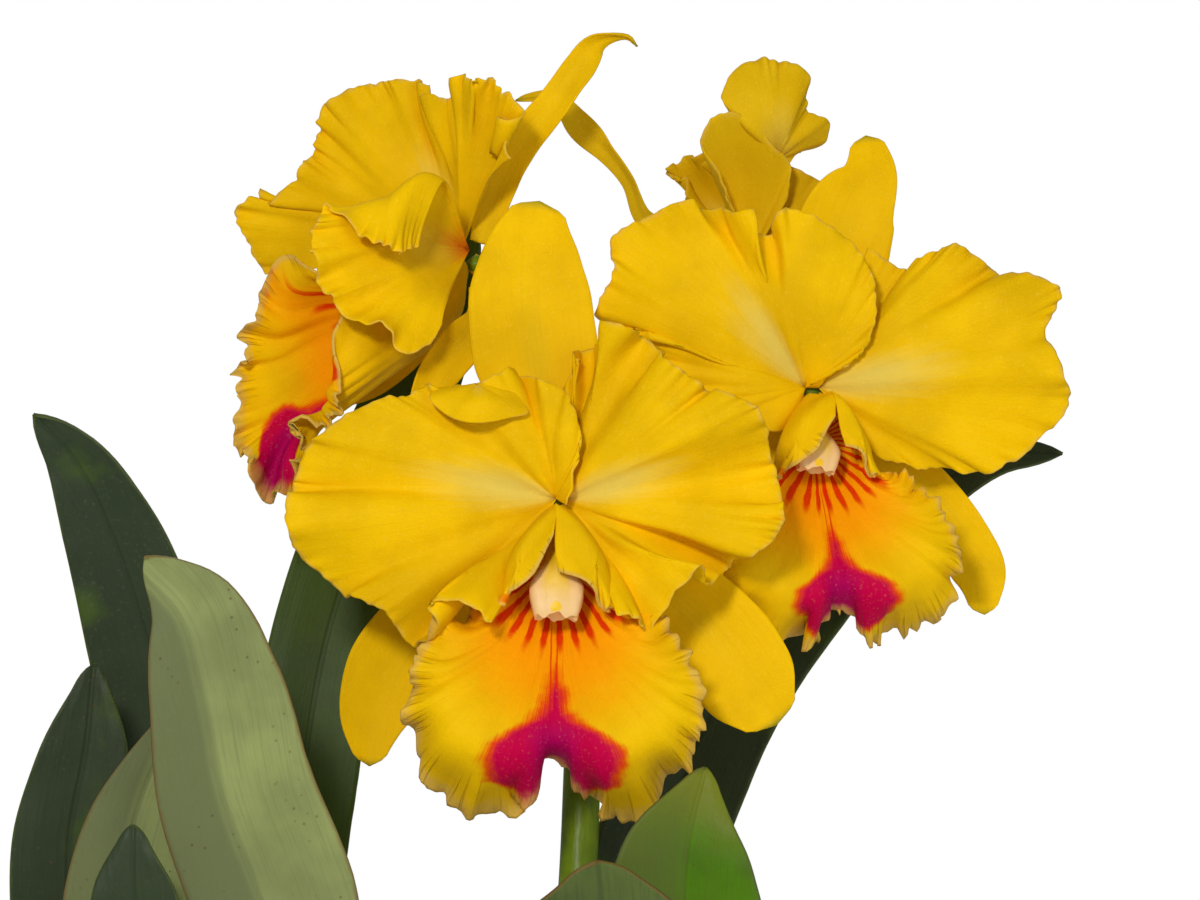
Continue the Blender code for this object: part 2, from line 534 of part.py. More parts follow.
def add_pot(materials, collection, cutters):
    """The clay pot: a turned shell with a rolled rim and drain holes through its floor."""
    inner_top = POT_RIM_RADIUS - POT_WALL - RIM_STEP
    shoulder = POT_HEIGHT - POT_RIM_HEIGHT
    profile = [
        (0, POT_FLOOR), (POT_FOOT_RADIUS - POT_WALL, POT_FLOOR), (inner_top - RIM_STEP, shoulder),
        (inner_top, POT_HEIGHT - 1), (inner_top + 1, POT_HEIGHT), (POT_RIM_RADIUS - 1.5, POT_HEIGHT),
        (POT_RIM_RADIUS, POT_HEIGHT - 2), (POT_RIM_RADIUS - 1, shoulder + 1.5), (POT_RIM_RADIUS - 2.5, shoulder),
        (POT_BODY_RADIUS, shoulder - 1), (POT_FOOT_RADIUS, 2), (POT_FOOT_RADIUS - 1.5, 0), (0, 0),
    ]
    mesh = bpy.data.meshes.new("pot")
    mesh.from_pydata([(r * MM, 0, z * MM) for r, z in profile], [(i, i + 1) for i in range(len(profile) - 1)], [])
    pot = bpy.data.objects.new("pot", mesh)
    collection.objects.link(pot)
    screw = pot.modifiers.new("turn", "SCREW")
    screw.steps = screw.render_steps = POT_SIDES
    screw.use_merge_vertices = True
    screw.merge_threshold = 0.00005
    screw.use_normal_calculate = True
    for index in range(DRAIN_HOLES):
        angle = 2 * math.pi * (index + 0.25) / DRAIN_HOLES
        drain = bpy.data.meshes.new("drain_cutter")
        shape = bmesh.new()
        bmesh.ops.create_cone(shape, cap_ends=True, segments=16, radius1=DRAIN_RADIUS * MM,
                              radius2=DRAIN_RADIUS * MM, depth=4 * POT_FLOOR * MM)
        shape.to_mesh(drain)
        shape.free()
        cutter = bpy.data.objects.new(f"drain_cutter_{index}", drain)
        cutter.location = (DRAIN_CIRCLE * math.cos(angle) * MM, DRAIN_CIRCLE * math.sin(angle) * MM, 0)
        cutter.hide_render = True
        cutter.display_type = "WIRE"
        cutters.objects.link(cutter)
        cut = pot.modifiers.new(f"drain_{index}", "BOOLEAN")
        cut.operation = "DIFFERENCE"
        cut.object = cutter
    pot.data.materials.append(materials["clay"])
    return pot


def distance_to_rhizome(x, y):
    """How far a place on the bark is from the nearest creeping stem, in millimetres."""
    best = 1e9
    for line in RHIZOMES:
        for (ax, ay), (bx, by) in zip(line, line[1:]):
            length = max((bx - ax) ** 2 + (by - ay) ** 2, 1e-6)
            t = min(1, max(0, ((x - ax) * (bx - ax) + (y - ay) * (by - ay)) / length))
            best = min(best, math.hypot(x - ax - t * (bx - ax), y - ay - t * (by - ay)))
    return best


def add_bark(materials, collection):
    """The potting bark: a plug that fills the pot, with chips standing out of its top."""
    draw = random.Random(7)
    foot = POT_FOOT_RADIUS - POT_WALL - 2 * FIT_GAP
    top = (POT_RIM_RADIUS - POT_WALL - 3 * RIM_STEP) * 0.985
    mesh = bpy.data.meshes.new("bark")
    shape = bmesh.new()
    rise = BARK_LEVEL - POT_FLOOR - FIT_GAP
    bmesh.ops.create_cone(shape, cap_ends=True, segments=POT_SIDES, radius1=foot * MM, radius2=top * MM,
                          depth=rise * MM)
    bmesh.ops.translate(shape, verts=shape.verts[:], vec=(0, 0, (POT_FLOOR + FIT_GAP + rise / 2) * MM))
    shape.to_mesh(mesh)
    shape.free()
    bark = bpy.data.objects.new("bark", mesh)
    chips = []
    reach = top - 7
    for index in range(BARK_SLOTS):
        radius = reach * math.sqrt((index + 0.5) / BARK_SLOTS)
        angle = index * GOLDEN_ANGLE
        x, y = radius * math.cos(angle), radius * math.sin(angle)
        turn, tilt = draw.uniform(0, math.pi), draw.uniform(-0.35, 0.35)
        size = (draw.uniform(9, 14), draw.uniform(5.5, 8), draw.uniform(4.5, 6.5))
        if index % BARK_SLOTS_EACH or distance_to_rhizome(x, y) < RHIZOME_RADIUS + CHIP_ROOM:
            continue
        chip_mesh = bpy.data.meshes.new("chip")
        shape = bmesh.new()
        bmesh.ops.create_cube(shape, size=1)
        for vertex in shape.verts:
            taper = 0.72 if vertex.co.z > 0 else 1.0
            vertex.co = (vertex.co.x * size[0] * taper * MM, vertex.co.y * size[1] * taper * MM,
                         vertex.co.z * size[2] * MM)
        shape.to_mesh(chip_mesh)
        shape.free()
        chip = bpy.data.objects.new(f"chip_{index}", chip_mesh)
        chip.location = (x * MM, y * MM, (BARK_LEVEL + 0.8) * MM)
        chip.rotation_euler = (tilt, 0.5 * tilt, turn)
        chips.append(chip)
    join_all(bark, chips, collection)
    finish_mesh(bark, materials["bark"])
    return bark


def add_bulbs(materials, collection):
    """The creeping rhizome with its pseudobulbs, which grew as one body."""
    lying = BARK_LEVEL + RHIZOME_RADIUS + 1.4
    tubes = []
    for index, line in enumerate(RHIZOMES):
        points = [(x, y, lying + 0.15 * index) for x, y in line]
        radii = [RHIZOME_RADIUS * 0.6] + [RHIZOME_RADIUS] * (len(line) - 2) + [RHIZOME_RADIUS * 0.6]
        tubes.append(smooth_tube(f"rhizome_{index}", points, radii, 3 * len(line) - 2, 8))
    for index, ((x, y), tip) in enumerate(BULBS):
        foot = Vector((x, y, lying - 1.5))
        top = Vector(seen(tip))
        line = [foot, foot.lerp(top, 0.5) + Vector((0, 0, BULB_BOW)), top]
        tubes.append(smooth_tube(f"bulb_{index}", [tuple(p) for p in line], BULB_RADII, 9, 8))
    bulbs = tubes.pop(0)
    bulbs.name = "rhizome_and_pseudobulbs"
    join_all(bulbs, tubes, collection)
    finish_mesh(bulbs, materials["bulb"])
    return bulbs


def add_stem(materials, collection):
    """The flower stem with its four stalks, each swelling into the hub of a bloom."""
    stem = smooth_tube("flower_stem", seen(STEM_LINE), STEM_RADII, 12, 8)
    stalks = []
    for name, (line, radii) in STALKS.items():
        hub = seen(HUBS[name])
        stalks.append(smooth_tube(f"stalk_{name}", seen(line + [HUBS[name]]), radii + [HUB_RADIUS], 7, 6))
        ball = bpy.data.meshes.new("hub")
        shape = bmesh.new()
        bmesh.ops.create_uvsphere(shape, u_segments=8, v_segments=5, radius=HUB_RADIUS * MM)
        shape.to_mesh(ball)
        shape.free()
        knob = bpy.data.objects.new(f"hub_{name}", ball)
        knob.location = Vector(hub) * MM
        stalks.append(knob)
    join_all(stem, stalks, collection)
    finish_mesh(stem, materials["stem"])
    return stem


def add_blooms(materials, collection):
    """The sepals, petals, lips and columns of the four blooms."""
    for name, piece in SEPALS.items():
        grid = strap_grid(piece, 2 * len(piece["line"]), 3)
        add_sheet(name, grid, SEPAL_THICKNESS, materials["petal"], collection)
    for name, piece in PETALS.items():
        columns = 19 if name.startswith("rear") else 23
        add_sheet(name, petal_grid(piece, 6, columns), PETAL_THICKNESS, materials["petal"], collection)
    add_sheet("left_near_petal", folded_grid(FOLDED_PETAL, 7, 25), PETAL_THICKNESS, materials["petal"], collection)
    for name, lip in LIPS.items():
        rows, columns = (7, 21) if name == "rear" else (8, 29)
        grid = lip_grid(lip, HUBS[name], rows, columns)
        add_sheet(f"{name}_lip", grid, LIP_THICKNESS, materials["lip"], collection)
        line = turned(COLUMN_LINE, lip, HUBS[name])
        radii = [radius * lip["column"] for radius in COLUMN_RADII]
        column = smooth_tube(f"{name}_column", line, radii, 10, 8)
        collection.objects.link(column)
        finish_mesh(column, materials["column"])


def add_leaves(materials, collection):
    for name, piece in LEAVES.items():
        grid = strap_grid(piece, 2 * len(piece["line"]), 3)
        finish = "pale_leaf" if name in PALE_LEAVES else "leaf"
        add_sheet(name, grid, LEAF_THICKNESS, materials[finish], collection)
    add_sheet("stem_sheath", strap_grid(SHEATH, 7, 7), 1.0, materials["pale_leaf"], collection)


def main():
    clear_scene()
    plant = new_collection("cattleya_orchid")
    cutters = new_collection("cutters")
    materials = make_materials()
    add_pot(materials, plant, cutters)
    add_bark(materials, plant)
    add_bulbs(materials, plant)
    add_stem(materials, plant)
    add_leaves(materials, plant)
    add_blooms(materials, plant)


main()
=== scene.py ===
"""Finish and fine surfaces of the cattleya orchid, on the frame of its solids.

The plant's outlines are drawn in millimetres, as seen from in front on the plane Y = 0. A point behind that
plane is spread away from the middle of the view, so that it still looks to be where it is drawn.
"""
import math
import random

import bpy
import numpy as np
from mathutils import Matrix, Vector


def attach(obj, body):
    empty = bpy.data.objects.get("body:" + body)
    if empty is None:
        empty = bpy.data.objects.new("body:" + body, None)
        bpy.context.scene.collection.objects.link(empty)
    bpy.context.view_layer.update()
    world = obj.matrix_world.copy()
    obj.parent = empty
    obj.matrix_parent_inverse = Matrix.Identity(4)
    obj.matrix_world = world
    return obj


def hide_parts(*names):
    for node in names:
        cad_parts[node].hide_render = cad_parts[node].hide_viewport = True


bl_info = {
    "name": "Cattleya orchid",
    "version": (1, 0, 0),
    "blender": (4, 5, 0),
    "location": "3D View > Sidebar > Orchid",
    "description": "Petals, lips, leaves, stem, bark and pot of a potted cattleya",
    "category": "Mesh",
}

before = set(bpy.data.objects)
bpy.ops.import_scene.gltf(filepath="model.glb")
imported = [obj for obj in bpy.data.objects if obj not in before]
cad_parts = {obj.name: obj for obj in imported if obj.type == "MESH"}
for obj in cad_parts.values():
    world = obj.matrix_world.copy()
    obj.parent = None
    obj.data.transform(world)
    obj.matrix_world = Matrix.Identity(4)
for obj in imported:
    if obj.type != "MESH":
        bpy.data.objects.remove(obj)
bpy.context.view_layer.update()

# One millimetre, in the scene's metres. Lengths below are in millimetres unless a comment says otherwise.
MM = 0.001
# The eye's distance in front of the plane Y = 0, the middle of its view there and the view's width.
EYE_DISTANCE = 1600.0
EYE_MIDDLE = (47.6, 396.0)
VIEW_WIDTH = 336.0
SENSOR_WIDTH = 36
# How far out from its claw's middle a petal starts, and the length that a ray needs to be ruffled fully.
CLAW_CENTRE = 0.3
RUFFLE_ROOM = 7.0
HUB_RADIUS = 3.0
# Rows and columns of points in each kind of sheet and body.
SEPAL_MESH = (60, 23)
PETAL_MESH = (38, 270)
FLAP_COLUMNS = 110
LIP_MESH = (44, 350)
REAR_LIP_MESH = (26, 180)
LEAF_MESH = (80, 27)
SHEATH_MESH = (70, 41)
WRAP_MESH = (20, 53)
COLUMN_MESH = (84, 64)
BULB_MESH = (56, 55)
STEM_MESH = (120, 32)
STALK_MESH = (70, 28)
HUB_MESH = (16, 24)
BED_MESH = (12, 64)
# How many columns and rows a sheet takes to grow from its edges' thickness to its full thickness.
THIN_COLUMNS = 5
THIN_ROWS = 3
# The size of the petals' soft swells, how many are laid over each other and how high they stand.
SWELL_SIZE = 32
SWELLS = 7
SWELL_HEIGHT = 1.9
# The lengths along a margin of a broad crimp, a close crimp and a pleat, and how far in the crimps die out.
BROAD_CRIMP = 13
CLOSE_CRIMP = 5
PLEAT = 3.4
PLEAT_HEIGHT = 0.04
BROAD_FADE = 8.0
CLOSE_FADE = 3.2
NICK_FADE = 2.5
# How much lower the frill of a petal's further sheets is.
FLAP_FRILL = 0.4
# Where each kind of piece starts its random draws, and how far apart two pieces' draws lie.
SEPAL_SEED = 300
PETAL_SEED = 40
SWELL_SEED = 70
LIP_SEED = 400
LEAF_SEED = 700
SHEATH_SEED = 900
WRAP_SEED = 50
BARK_SEED = 11
SEED_STEP = 10
# The pot with its drain holes, and how high the bark lies in it and how many chips it has.
POT_HEIGHT = 116.0
POT_FOOT_RADIUS = 50.0
POT_BODY_RADIUS = 66.0
POT_RIM_RADIUS = 72.0
POT_RIM_HEIGHT = 26.0
POT_WALL = 6.0
POT_FLOOR = 8.0
POT_SIDES = 32
DRAIN_HOLES = 3
DRAIN_RADIUS = 7.0
DRAIN_CIRCLE = 28.0
BARK_LEVEL = 100.0
CHIPS = 230
# The angle between each bark chip and the next, which spreads them evenly.
GOLDEN_ANGLE = 2.39996

# Each light: its name, place in metres, size, share of the main light's power and colour, and where all aim.
LIGHTS = (
    ("key", (-0.3, -1.45, 0.95), 0.22, 1, (1, 0.98, 0.95)),
    ("fill", (0.9, -1.2, 0.5), 0.9, 0.35, (0.95, 0.98, 1)),
    ("back", (0.1, 1.3, 1.1), 1.0, 0.3, (1, 1, 1)),
)
LIGHT_AIM = (0.05, 0, 0.33)

# Each bloom's hub: the top of the ovary, which the sepals, petals, lip and column spring from.
HUBS = {
    "front": (36.0, 2.0, 381.0),
    "right": (107.0, 40.0, 412.0),
    "left": (13.0, 52.0, 448.0),
    "rear": (92.0, 84.0, 452.0),
}

# A strap-shaped piece: its midline, its half-widths, its roll at each point in degrees, if any, and its
# channel, which is how far the edges stand towards the viewer, as a share of the half-width.
SEPALS = {
    "front_dorsal_sepal": dict(
        line=[(36, 5, 385.5), (34, 10, 400), (30, 16, 420), (28, 18, 440), (29, 18, 455), (31, 16, 465.5)],
        half=[2.6, 9, 18, 17.5, 12.5, 6], channel=0.12),
    "front_left_sepal": dict(
        line=[(32.5, 5.5, 378), (18, 12, 365), (2, 18, 351), (-11, 20, 334), (-16, 19, 320),
              (-17, 16, 307.5)],
        half=[2.6, 8, 12, 13, 10, 3], channel=0.15),
    "front_right_sepal": dict(
        line=[(39.5, 5.5, 378), (54, 11, 366), (70, 12, 354), (83, 9, 340), (91, 5, 328), (97, 3, 319)],
        half=[2.6, 8, 13, 15, 14, 6], channel=0.12),
    "right_dorsal_sepal": dict(
        line=[(107.5, 43.5, 416.5), (111, 52, 433), (114, 58, 450), (118, 60, 463), (123, 59, 474),
              (122, 56, 484)],
        half=[2.6, 9, 15, 13.5, 8, 4], roll=[0, 0, 0, 0, -5, 0], channel=0.15),
    "right_left_sepal": dict(
        line=[(103.6, 42, 408), (97, 49, 396), (92, 53, 380), (90, 53, 364), (91, 50, 350)],
        half=[2.6, 8, 10, 9, 2.5], channel=0.15),
    "right_right_sepal": dict(
        line=[(110.5, 43.5, 409), (124, 51, 397), (138, 54, 384), (148, 54, 372), (154, 53, 361),
              (155, 50, 350)],
        half=[2.6, 8, 9, 8.5, 8, 3], channel=0.15),
    "left_dorsal_sepal": dict(
        line=[(14, 56, 454), (17, 60, 463), (21, 60, 474), (27, 57, 484), (35, 54, 493), (42, 53, 503),
              (47, 54, 510.5), (52, 55, 512), (56, 56, 511.5), (58, 56, 509)],
        half=[2.6, 5, 5.2, 5, 5, 4.8, 3.4, 1.6, 1.2, 0.8],
        roll=[0, 10, 0, -25, 15, 20, -35, -60, -60, -60], channel=0.3),
    "left_near_sepal": dict(
        line=[(13.5, 47, 441.5), (14, 39, 433), (8, 30, 425), (1, 24, 416), (-5, 20, 405)],
        half=[2.4, 4, 6.5, 6, 2], roll=[0, 0, 10, 10, 0], channel=0.3),
    "left_far_sepal": dict(
        line=[(8.5, 57, 444.5), (1, 60, 434), (-9, 61, 424), (-18, 60, 416), (-27, 58, 409)],
        half=[2.4, 6, 7.5, 6.5, 2], channel=0.2),
    "rear_left_sepal": dict(
        line=[(87, 87, 455), (78, 88, 458), (68, 86, 457), (60, 82, 461), (56, 80, 471), (49, 79, 480),
              (41, 78, 487), (34, 78, 494), (24, 78, 494)],
        half=[2.4, 3.5, 3.5, 2.6, 2.4, 3.2, 4.6, 3, 1.2],
        roll=[0, 0, 0, 25, 40, 30, -20, -50, -65], channel=0.35),
    "rear_right_sepal": dict(
        line=[(96.5, 87, 455), (105, 93, 458), (113, 98, 457), (120, 101, 451), (125, 102, 443)],
        half=[2.4, 6, 8, 6, 2], channel=0.2),
    "rear_lower_sepal": dict(
        line=[(93.5, 82.5, 445.5), (91, 80, 434), (87, 80, 418), (85, 81, 402), (85, 82, 388)],
        half=[2.4, 7, 9, 7, 2], channel=0.2),
}

# A broad petal: its claw, and its margin from one side of the claw round to the other. Its cup is how far
# it bows along Y between the claw and the margin, at even steps along the margin. Its ruffle is the height of
# the waves at its margin.
PETALS = {
    "front_left_petal": dict(
        claw=(35.4, -3.8, 382.4), cup=[0, -3, -4, -4, -3, -3, -2, 2, 5], waves=5, ruffle=1.7, phase=0.4,
        margin=[(39.6, -9, 380.5), (41, -10, 386), (42.2, -9, 394), (41.5, -8, 404), (35, -5, 413),
                (25, -2, 419), (14, -8, 415), (0, -3, 413), (-12, -6, 411), (-24, -5, 406), (-33, -4, 398),
                (-39, -6, 387), (-40, -9, 376), (-36, -9, 365), (-26, -7, 357), (-14, -10, 350),
                (-5, -17, 345), (4, -23, 346), (11, -26, 350), (17, -28, 346.5)]),
    "front_right_petal": dict(
        claw=(37.6, -3.6, 382.2), cup=[0, -2, -4, -4, -3, -3, -2, 1, 5], waves=5, ruffle=1.7, phase=2.2,
        margin=[(36.5, 1, 412), (45, 3, 426), (57, -1, 428), (66, -11, 422), (78, -13, 413), (92, -12, 407),
                (96, -10, 393), (99, -12, 376), (90, -11, 366), (78, -10, 358), (69, -14, 353),
                (61, -22, 348.5), (52, -25, 349)]),
    "right_left_petal": dict(
        claw=(105.0, 36.2, 413.6), cup=[0, -4, -6, -6, -6, -5, -4, -3, 0], waves=5, ruffle=1.7, phase=1.0,
        margin=[(103.5, 33, 405), (97, 30, 401), (87, 29.5, 404), (72, 29, 413), (60, 28, 425),
                (46.5, 26, 434), (51, 25, 446), (51, 27, 455), (61, 29, 461), (73, 30, 466), (84, 28, 463),
                (93, 27, 457), (98, 27, 463), (110, 29, 460), (120, 31, 452), (125, 31, 438),
                (122, 29, 425), (112, 31, 417), (108.5, 34.5, 413)]),
    "right_right_petal": dict(
        claw=(109.0, 36.2, 413.6), cup=[0, -2, -4, -4, -4, -3, -2, 0, 0], waves=5, ruffle=1.9, phase=0.2,
        margin=[(122, 44, 452), (133, 42, 446), (148, 38, 453), (158, 36, 448), (177, 34, 440),
                (172, 33, 429), (179, 35, 410), (172, 36, 400), (160, 35, 391), (148, 36, 390),
                (138, 36.5, 390.5), (128, 37, 393.5), (120, 37.5, 398)]),
    "left_far_petal": dict(
        claw=(8.5, 58, 452), cup=[0, 2, -2, -4, -4, -3, -2, 0, 0], waves=6, ruffle=2.0, phase=0.9,
        margin=[(-47, 69, 445), (-54, 68, 464), (-38, 66, 470), (-33, 65, 480), (-32, 64, 488),
                (-17, 61, 499), (0, 54, 498), (6, 45, 494), (9, 36, 501), (18, 32, 497), (23, 32, 491),
                (18, 36, 481)]),
    "rear_left_petal": dict(
        claw=(88, 82, 454.5), cup=[0, 2, 3, 0], waves=4, ruffle=1.4, phase=0.5,
        margin=[(81, 79, 456), (73, 83, 466), (66.4, 88, 475.5), (72, 87, 478.6), (78, 84, 479),
                (84, 80, 472)]),
    "rear_right_petal": dict(
        claw=(97.5, 70, 478), cup=[0, -5, -7, -6, -3, 0], waves=3, ruffle=0.7, phase=0.3,
        margin=[(91, 68, 483.5), (86, 64, 489), (81.6, 60, 494), (82.8, 62, 499), (86.8, 63, 503.8),
                (93.8, 64, 505.5), (100.8, 65, 504.4), (105.6, 67, 501), (103.4, 68, 495.5),
                (104.5, 70, 490.5), (112, 72, 487), (110.5, 74, 483.8), (103, 74, 480.5), (100, 72, 476)]),
}
# Further sheets of a petal: the front left one folds down over its own upper margin, and the rear right one
# has a funnel and a side sheet below the part that stands up.
PETAL_FLAPS = {
    "front_left_petal": [
        dict(
            claw=(13, -7, 414.4), cup=[-1, -2.5, -3.5, -3.5, -2.5, -1], waves=2, ruffle=0.2, phase=0.4,
            margin=[(21, -6, 414), (25, -8, 410.5), (27.5, -9.5, 406.6), (22, -12.5, 404.9),
                    (15, -14, 403.6), (8, -13.5, 404.2), (3.5, -11.5, 406.6), (0, -9, 410.2),
                    (0.5, -5, 413.2)]),
    ],
    "rear_right_petal": [
        dict(
            claw=(90, 70, 450), cup=[0, 3, 7, 8, 6, 3, 0], waves=2, ruffle=0.4, phase=0.0,
            margin=[(85, 66, 463), (80.5, 62, 474), (75.6, 60, 483), (79, 58, 489), (85.4, 58, 490.6),
                    (91, 60, 486.5), (96.5, 63, 481), (101, 67, 476), (100, 68, 466)]),
        dict(
            claw=(92, 73, 451), cup=[0, -2, -2, 0], waves=3, ruffle=0.6, phase=0.8,
            margin=[(99, 75, 477), (104, 77, 474), (109.5, 78, 471), (112, 79, 465), (106, 80, 460)]),
    ],
}

# The left bloom's near petal folds over, so it also has a middle row, point for point with its margin.
FOLDED_PETAL = dict(
    claw=(11.0, 46.5, 452), waves=5, ruffle=1.2, phase=0.0,
    middle=[(4, 24, 471), (-2, 20, 473), (-9, 18, 467), (-14, 18, 464), (-16, 18, 460),
            (-13, 19, 453), (-9, 19, 446), (-4, 20, 441), (1, 22, 439), (6, 28, 441)],
    margin=[(-3, 14, 454), (-9, 9, 451), (-17, 6, 454), (-27, 7, 463), (-33, 8, 460),
            (-33, 8, 448), (-26, 6, 438), (-15, 4, 432), (-5, 6, 423), (3, 16, 432)],
)

# One side of the lip as rings from its foot to its margin, from the slit on top to the middle of its floor.
# Each point is across, forward and down from the hub, with the tube pitched as on the front bloom.
LIP_RINGS = [
    [(1.2, 4.4, 0.2), (2.2, 4, 0.9), (3, 3.5, 1.8), (3.3, 3.2, 2.7), (3.2, 3, 3.3), (2.8, 2.8, 3.8),
     (2.3, 2.6, 4.1), (1.8, 2.5, 4.3), (1.2, 2.5, 4.4), (0.6, 2.4, 4.5), (0, 2.4, 4.5)],
    [(1.3, 9, 1), (5, 10, 4), (8.5, 9, 8), (10, 7.5, 13), (10, 6.5, 16), (9, 5.5, 19), (7.6, 4.8, 21),
     (5.8, 4, 22.4), (4, 3.6, 23.2), (2, 3.4, 23.6), (0, 3.3, 23.6)],
    [(1.2, 13, 0), (7.5, 17, 8), (13, 16.5, 15), (14.5, 15, 23), (14.5, 14, 29), (14, 14.5, 34),
     (12.6, 15.5, 38), (10, 16, 41), (7, 16, 43), (3.6, 16, 44), (0, 16, 44)],
    [(1.2, 15, 0), (4.5, 20, 11), (11, 21.5, 18), (15.5, 19.5, 27), (22, 16.5, 33), (28, 21, 43),
     (30, 25, 52), (27, 27, 62), (18, 28, 68), (9, 27, 67), (0, 26, 63)],
    [(1.2, 16, 0), (1.2, 21.5, 13), (8, 24, 18.5), (15, 20.5, 28.5), (26, 11.5, 29.5), (38, 19, 42),
     (41, 21, 58), (36, 15, 73), (24, 11, 86), (12, 14, 87), (0, 19, 73)],
]
# The left bloom's lip is seen from its side. Its last three rings are drawn as seen, from one edge of the
# slit, round the far half, its floor and the near half, to the other edge.
SIDE_LIP_RINGS = [
    [(-12, 36, 447), (-18, 40, 444), (-24, 43, 437), (-27, 43, 428), (-26, 40, 419), (-22, 33, 413),
     (-18, 26, 412), (-16, 22, 416), (-15, 20, 423), (-14, 21, 432), (-10, 26, 441)],
    [(-26, 30, 444), (-36, 33, 443), (-40, 36, 434), (-43, 36, 420), (-43, 31, 406), (-40, 25, 399),
     (-34, 18, 400), (-30, 14, 406), (-27, 13, 414), (-25, 15, 424), (-19, 20, 437)],
    [(-31, 28, 446), (-42, 31, 450), (-48, 34, 438), (-54, 31, 418), (-54, 25, 400), (-47, 17, 384),
     (-36, 9, 390), (-30, 6, 402), (-25, 9, 411), (-27, 13, 427), (-23, 18, 438)],
]
# The magenta mark's half-width at places down the lip, both in tenths of a metre.
MARK_WIDTHS = [(0.0, 0.0), (0.44, 0.0), (0.49, 0.028), (0.56, 0.046), (0.6, 0.085), (0.63, 0.15),
               (0.66, 0.195), (0.71, 0.212), (0.77, 0.19), (0.82, 0.1), (0.87, 0.03)]
# How far down the lip its red lines fan out from, and how many a full turn would have.
FAN_FOOT = 0.16
FAN_LINES = 31
# Each lip's turn about the upright, pitch up, lean, size and depth, each side's share of the width, and the
# size of the column inside it.
LIPS = {
    "front": dict(turn=0, pitch=0, lean=-1, size=1.0, depth=1.15, left=1.0, right=1.0, column=1.0),
    "right": dict(turn=8, pitch=0, lean=9, size=0.86, depth=1.2, left=0.75, right=1.05, column=0.86),
    "left": dict(turn=-60, pitch=15, lean=0, size=0.85, depth=1.3, left=0.85, right=0.55, column=0.5,
                 rings=SIDE_LIP_RINGS),
    "rear": dict(turn=165, pitch=20, lean=0, size=0.85, depth=1.2, left=0.85, right=0.85, column=0.85),
}
LIP_WAVES = 9
LIP_RUFFLE = 1.5

# The column's line: across, forward and down from the hub. Its last points are in the anther cap.
COLUMN_LINE = [(0, 3.6, 2.7), (0, 6.6, 6.4), (0, 10.5, 13), (0, 13.8, 19), (0, 16, 23), (0, 17.8, 26.5),
               (0, 19, 29.5), (0, 19.4, 31.5)]

# Each leaf: its midline from its foot to its tip, its half-widths, its channel and its roll, if any.
LEAVES = {
    "leaf_far_left": dict(
        line=[(-57, 20, 213), (-60, 20, 240), (-70, 19, 290), (-80, 18, 345), (-89, 17, 372),
              (-100, 16, 394), (-111, 14, 406)],
        half=[4, 11, 17, 17, 14, 9, 1.5], channel=0.18),
    "leaf_left": dict(
        line=[(-67, -10, 209.2), (-84, -14, 225), (-99, -18, 255), (-101, -19, 285), (-96, -18, 315),
              (-94, -16, 336.5)],
        half=[4, 11, 16, 16, 12, 1.5], channel=0.16),
    "leaf_pale_front": dict(
        line=[(-28, -47, 209), (-32, -51, 235), (-43, -54, 270), (-54, -55, 300), (-60, -54, 330),
              (-67, -52, 352), (-80, -49, 366)],
        half=[4, 16, 22.5, 21.5, 18.5, 13, 1.5], channel=0.2),
    "leaf_pale_rear": dict(
        line=[(-58, -32, 208.6), (-74, -35, 232), (-83, -37, 262), (-79, -37, 290), (-70, -35, 315),
              (-63, -33, 332)],
        half=[4, 14, 20, 17, 9, 1.5], channel=0.14),
    "leaf_small_front": dict(
        line=[(-55, -60, 208.2), (-68, -68, 228), (-80, -76, 252), (-83, -78, 273), (-83, -77, 291)],
        half=[4, 10, 13.5, 11.5, 1.5], channel=0.16),
    "leaf_behind": dict(
        line=[(-36, 30, 216), (-38, 42, 250), (-36, 56, 300), (-29, 64, 343), (-20, 67, 372), (-8, 69, 404),
              (5, 69, 438), (12, 67, 463)],
        half=[4, 12, 16, 16, 16, 14, 10, 2], channel=0.16),
    "leaf_arching": dict(
        line=[(46, 12, 213), (54, 26, 245), (67, 48, 295), (86, 66, 335), (112, 74, 364), (140, 76, 385),
              (160, 74, 394), (177, 70, 395)],
        half=[4, 14, 19, 18.5, 15, 10, 6, 2], roll=[0, 0, 0, 0, 10, 25, 35, 30], channel=0.2),
    "leaf_front_right": dict(
        line=[(58, -28, 207), (65, -33, 232), (70, -36, 262), (72, -37, 286), (77, -35, 307)],
        half=[4, 18, 24, 17, 1.5], channel=0.22),
    "leaf_front_low": dict(
        line=[(44, -44, 206.8), (46, -54, 228), (48, -64, 250), (48, -72, 268), (47, -78, 281)],
        half=[4, 17, 25, 22, 4], channel=0.16),
}
PALE_LEAVES = ("leaf_pale_front", "leaf_pale_rear")

# Each pseudobulb: its foot on the rhizome and its tip under a leaf.
BULBS = [
    ((-43, 14), (-57, 20, 212)),
    ((-45, -8), (-67, -10, 206)),
    ((-11, -36), (-28, -47, 208)),
    ((-37, -23), (-58, -32, 206)),
    ((-27, -37), (-55, -60, 206)),
    ((-22, 18), (-36, 30, 215)),
    ((20, 6), (41, 7, 212)),
    ((36, -18), (58, -28, 206)),
    ((22, -34), (44, -44, 205)),
]
BULB_RADII = [4.5, 8.5, 10.5, 11, 10, 7.5, 4.8]
BULB_BOW = -3.0
# The rhizome's creeping lines, each through the feet of the bulbs that it joins.
RHIZOMES = [
    [(-45, -12), (-45, -8), (-43, 14), (-22, 18), (0, 12), (20, 6), (36, -18), (38, -24)],
    [(-27, -37), (-37, -23), (-45, -8)],
    [(-30, -38), (-27, -37), (-11, -36), (22, -34), (36, -18)],
]
RHIZOME_RADIUS = 5.5
